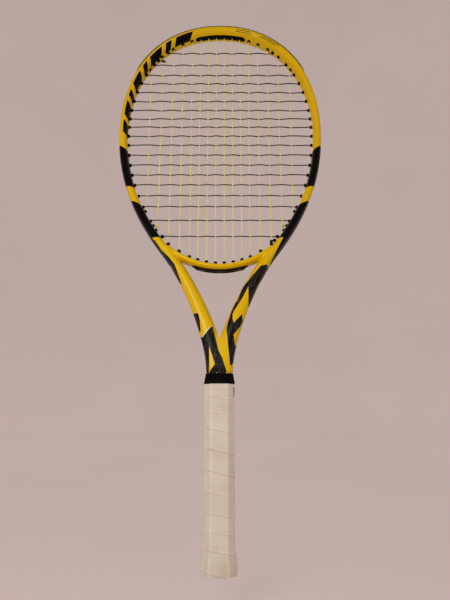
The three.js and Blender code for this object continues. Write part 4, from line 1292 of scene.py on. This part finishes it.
def build_end_band():
    """The last turn of the overgrip, laid level, with a dark tab in the slit between its cut ends that paints
    the slit's shade.
    """
    z, rise, width = BAND_ROWS.T
    turns = np.linspace(BAND_TURN + BAND_SLIT, BAND_TURN + 1 - BAND_SLIT, 130)
    rings = []
    for angle in 2 * math.pi * turns:
        drift = 0.5 * math.sin(angle + 0.7)
        level = np.where(rise > 0, z + drift * np.clip((z[-1] - z) / 8, 0, 1), z)
        rings.append(on_handle(angle, handle_radius(angle, level, rise - 0.25), level))
    wound("overgrip_end_band", rings, turns, np.tile(width, len(rings)))
    # The dark tab paints the slit's shade.
    z, rise = SLIT_SHADE_ROWS.T
    angles = 2 * math.pi * np.linspace(BAND_TURN - BAND_SLIT, BAND_TURN + BAND_SLIT, 7)
    tab = lofted([on_handle(angle, handle_radius(angle, z, rise), z) for angle in angles])
    solid("slit_shade_tab", *tab, TAPE, "finishing_tape", crease=50)


# Height, half width, half depth and corner cut, up the outside and down the inside.
COLLAR_LEVELS = [
    (197.15, 16.7, 14.8, 7.4), (197.1, 17.2, 15.3, 7.7), (197.5, 17.45, 15.5, 7.8),
    (198.6, 17.45, 15.5, 7.8), (199.4, 17.2, 15.25, 7.65), (201.5, 16.85, 14.6, 7.2),
    (204, 16.35, 13.7, 6.6), (206.6, 15.85, 12.8, 5.9), (207.3, 15.85, 12.7, 5.8),
    (207.7, 16, 12.85, 5.85), (208.2, 15.95, 12.8, 5.8), (208.5, 15.6, 12.4, 5.6),
    (208.5, 14.9, 11.7, 5), (205, 14.8, 12.1, 5.3), (198.5, 15.9, 13.9, 7.2), (197.15, 16.2, 14.3, 7.3),
]


def build_collar():
    """Tapered rubber ring that holds the grip's end, with a rolled lip at each edge."""
    angle = full_turn(HANDLE_SIDES)
    radii = [(octagon_radius(angle, *size, sharpness=40.0), z) for z, *size in COLLAR_LEVELS]
    ring = lofted([on_handle(angle, radius, z) for radius, z in radii], loop=True)
    solid("rubber_collar_moulding", *ring, RUBBER, "collar_rubber", ["rubber_collar"], crease=50)


CAP_TOP, CAP_FLOOR, CAP_WALL = 24.5, 2.6, 0.9
CAP_EDGE = 0.8  # how far the wall draws in at the very bottom
# Across the underside, from the wall to the door's opening: share of the way, and height.
CAP_UNDERSIDE = [
    (0.12, 0), (0.16, 0), (0.2, 0.45), (0.45, 0.5), (0.5, 0.5), (0.8, 0.5), (0.86, 0.1), (0.93, 0.1),
]
DOOR_HALF, DOOR_DEPTH, DOOR_THICKNESS = 8.2, 5.6, 1.8
# The door's plate, from the middle of its inside round to its underside: share of its size, and height.
DOOR_PLATE = [
    (0.02, DOOR_THICKNESS), (0.5, DOOR_THICKNESS), (1, DOOR_THICKNESS), (1, 0.25), (0.97, 0.05), (0.9, 0),
    (0.8, 0), (0.76, 0.25), (0.5, 0.3), (0.3, 0.55), (0.12, 0.8), (0.02, 0.85),
]
# A clip's section: how far inwards of the door's end, and height. The hook's nose is the eased top.
CLIP_SECTION = [(1.2, 1.5), (0, 1.5), (0, 6.2), (0, 6.6), (0.1, 7.2), (0.45, 7.9), (1, 8), (1.2, 7.8)]
CLIP_HALF, CLIP_BEVEL, CLIP_END_EASE = 3.0, 0.3, 0.12


def superbox(half, half_depth, angle, sharpness=14.0):
    """Radius of a round-cornered rectangle."""
    total = np.abs(np.sin(angle) / half) ** sharpness + np.abs(np.cos(angle) / half_depth) ** sharpness
    return total ** (-1 / sharpness)


def build_butt_cap():
    """The moulded cap: flared wall, floor with the door's opening, and a raised rim round it."""
    angle = full_turn(HANDLE_SIDES)
    wall = [(z, 0) for z in (CAP_TOP, 21, 16, 11, 6, 2, 0.7)] + [(0.2, -0.35), (0, -CAP_EDGE)]
    rows = [(octagon_radius(angle, *handle_size(z, PALLET_GROW + grow)), z) for z, grow in wall]
    rim, hole = rows[-1][0], superbox(DOOR_HALF + GAP, DOOR_DEPTH + GAP, angle)
    rows += [(rim + (hole - rim) * share, z) for share, z in CAP_UNDERSIDE]
    rows += [(hole + 0.15, 0.1), (hole, 0.25), (hole, CAP_FLOOR)]
    grow = PALLET_GROW - CAP_WALL
    neck = octagon_radius(angle, HANDLE_HALF + grow, HANDLE_DEPTH + grow, HANDLE_CORNER - 2 * CAP_WALL)
    rows += [(neck, CAP_FLOOR), (neck, CAP_TOP)]
    cap = lofted([on_handle(angle, radius, z) for radius, z in rows], loop=True)
    solid("butt_cap_moulding", *cap, CAP_PLASTIC, "cap_plastic", ["butt_cap"], crease=30)


def build_door():
    """The trap door: a rounded plate with a thumb scoop, and two snap clips."""
    angle = full_turn(DOOR_SIDES)
    rim = superbox(DOOR_HALF, DOOR_DEPTH, angle)
    parts = [lofted([on_handle(angle, rim * share, z) for share, z in DOOR_PLATE])]
    for side in (-1, 1):
        rings = []
        for y in (-CLIP_HALF, CLIP_BEVEL - CLIP_HALF, CLIP_HALF - CLIP_BEVEL, CLIP_HALF):
            end_ease = CLIP_END_EASE if abs(y) == CLIP_HALF else 0
            inner = max(inwards for inwards, _ in CLIP_SECTION)
            depths = [(inwards - (end_ease if inwards == inner else 0), z) for inwards, z in CLIP_SECTION]
            rings.append([(side * (DOOR_HALF - depth), y, z) for depth, z in depths])
        parts.append(lofted(rings))
    door = gathered(parts)
    solid("butt_trap_door_moulding", *door, CAP_PLASTIC, "cap_plastic", ["butt_trap_door"], body="trap_door")


# ---- CAD nodes that stay, with their own looks


def dress_hidden_nodes():
    looks = {
        "handle_pallet": (foam_look(), "handle_foam"),
        "base_grip": (base_grip_look(), "base_grip"),
        "finishing_tape": (TAPE, "finishing_tape"),
        "butt_cap_staple_front": (steel_look(), "staple_steel"),
    }
    looks["butt_cap_staple_back"] = looks["butt_cap_staple_front"]
    for name, (material, slot) in looks.items():
        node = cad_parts[name]
        node.data.materials.clear()
        node.data.materials.append(material)


# ---- stage


def add_backdrop():
    """A pale floor that curves up all round, far enough away for any camera."""
    rows = np.array(BACKDROP_PROFILE)
    share = np.linspace(0, len(rows) - 1, BACKDROP_RINGS + 1)
    radius, height = (np.interp(share, range(len(rows)), column) for column in rows.T)
    ring = circle(np.array([1.0, 0.0, 0.0]), np.array([0.0, 1.0, 0.0]), BACKDROP_SIDES)
    vertices = [(0, 0, height[0])]
    for reach, z in zip(radius[1:], height[1:]):
        vertices += (ring * reach + (0, 0, z)).tolist()
    faces = [(0, 1 + side, 1 + (side + 1) % BACKDROP_SIDES) for side in range(BACKDROP_SIDES)]
    walls = ring_faces(BACKDROP_RINGS, BACKDROP_SIDES, caps=False)
    faces += [(1 + a, 1 + d, 1 + c, 1 + b) for a, b, c, d in walls]
    mesh = bpy.data.meshes.new("floor")
    mesh.from_pydata(vertices, [], faces)
    mesh.shade_smooth()
    look = Look("floor", specular_ior_level=0.1)
    warmer = tuple(channel * 1.04 for channel in BACKDROP_TONE)
    cloud = look.between(look.noise(look.place(), 1.2, 2.0), 0.3, 0.7)
    colour = look.mix(cloud, BACKDROP_TONE, warmer)
    look.set({"base_color": colour, "roughness": 0.9, "emission_color": colour})
    look.set({"emission_strength": BACKDROP_GLOW})
    mesh.materials.append(look.material)
    floor = added("floor", mesh)


add_camera()
add_world()
for softbox in SOFTBOXES:
    add_softbox(*softbox)
add_backdrop()
bpy.context.scene.view_settings.view_transform = "Standard"
bpy.context.scene.view_settings.look = "Medium High Contrast"

build_frame_skin()
build_bridge()
build_bumper()
build_side_strips()
build_throat_strip()
build_inner_strip()
build_strings()
build_overgrip()
build_end_band()
build_collar()
build_butt_cap()
build_door()
dress_hidden_nodes()
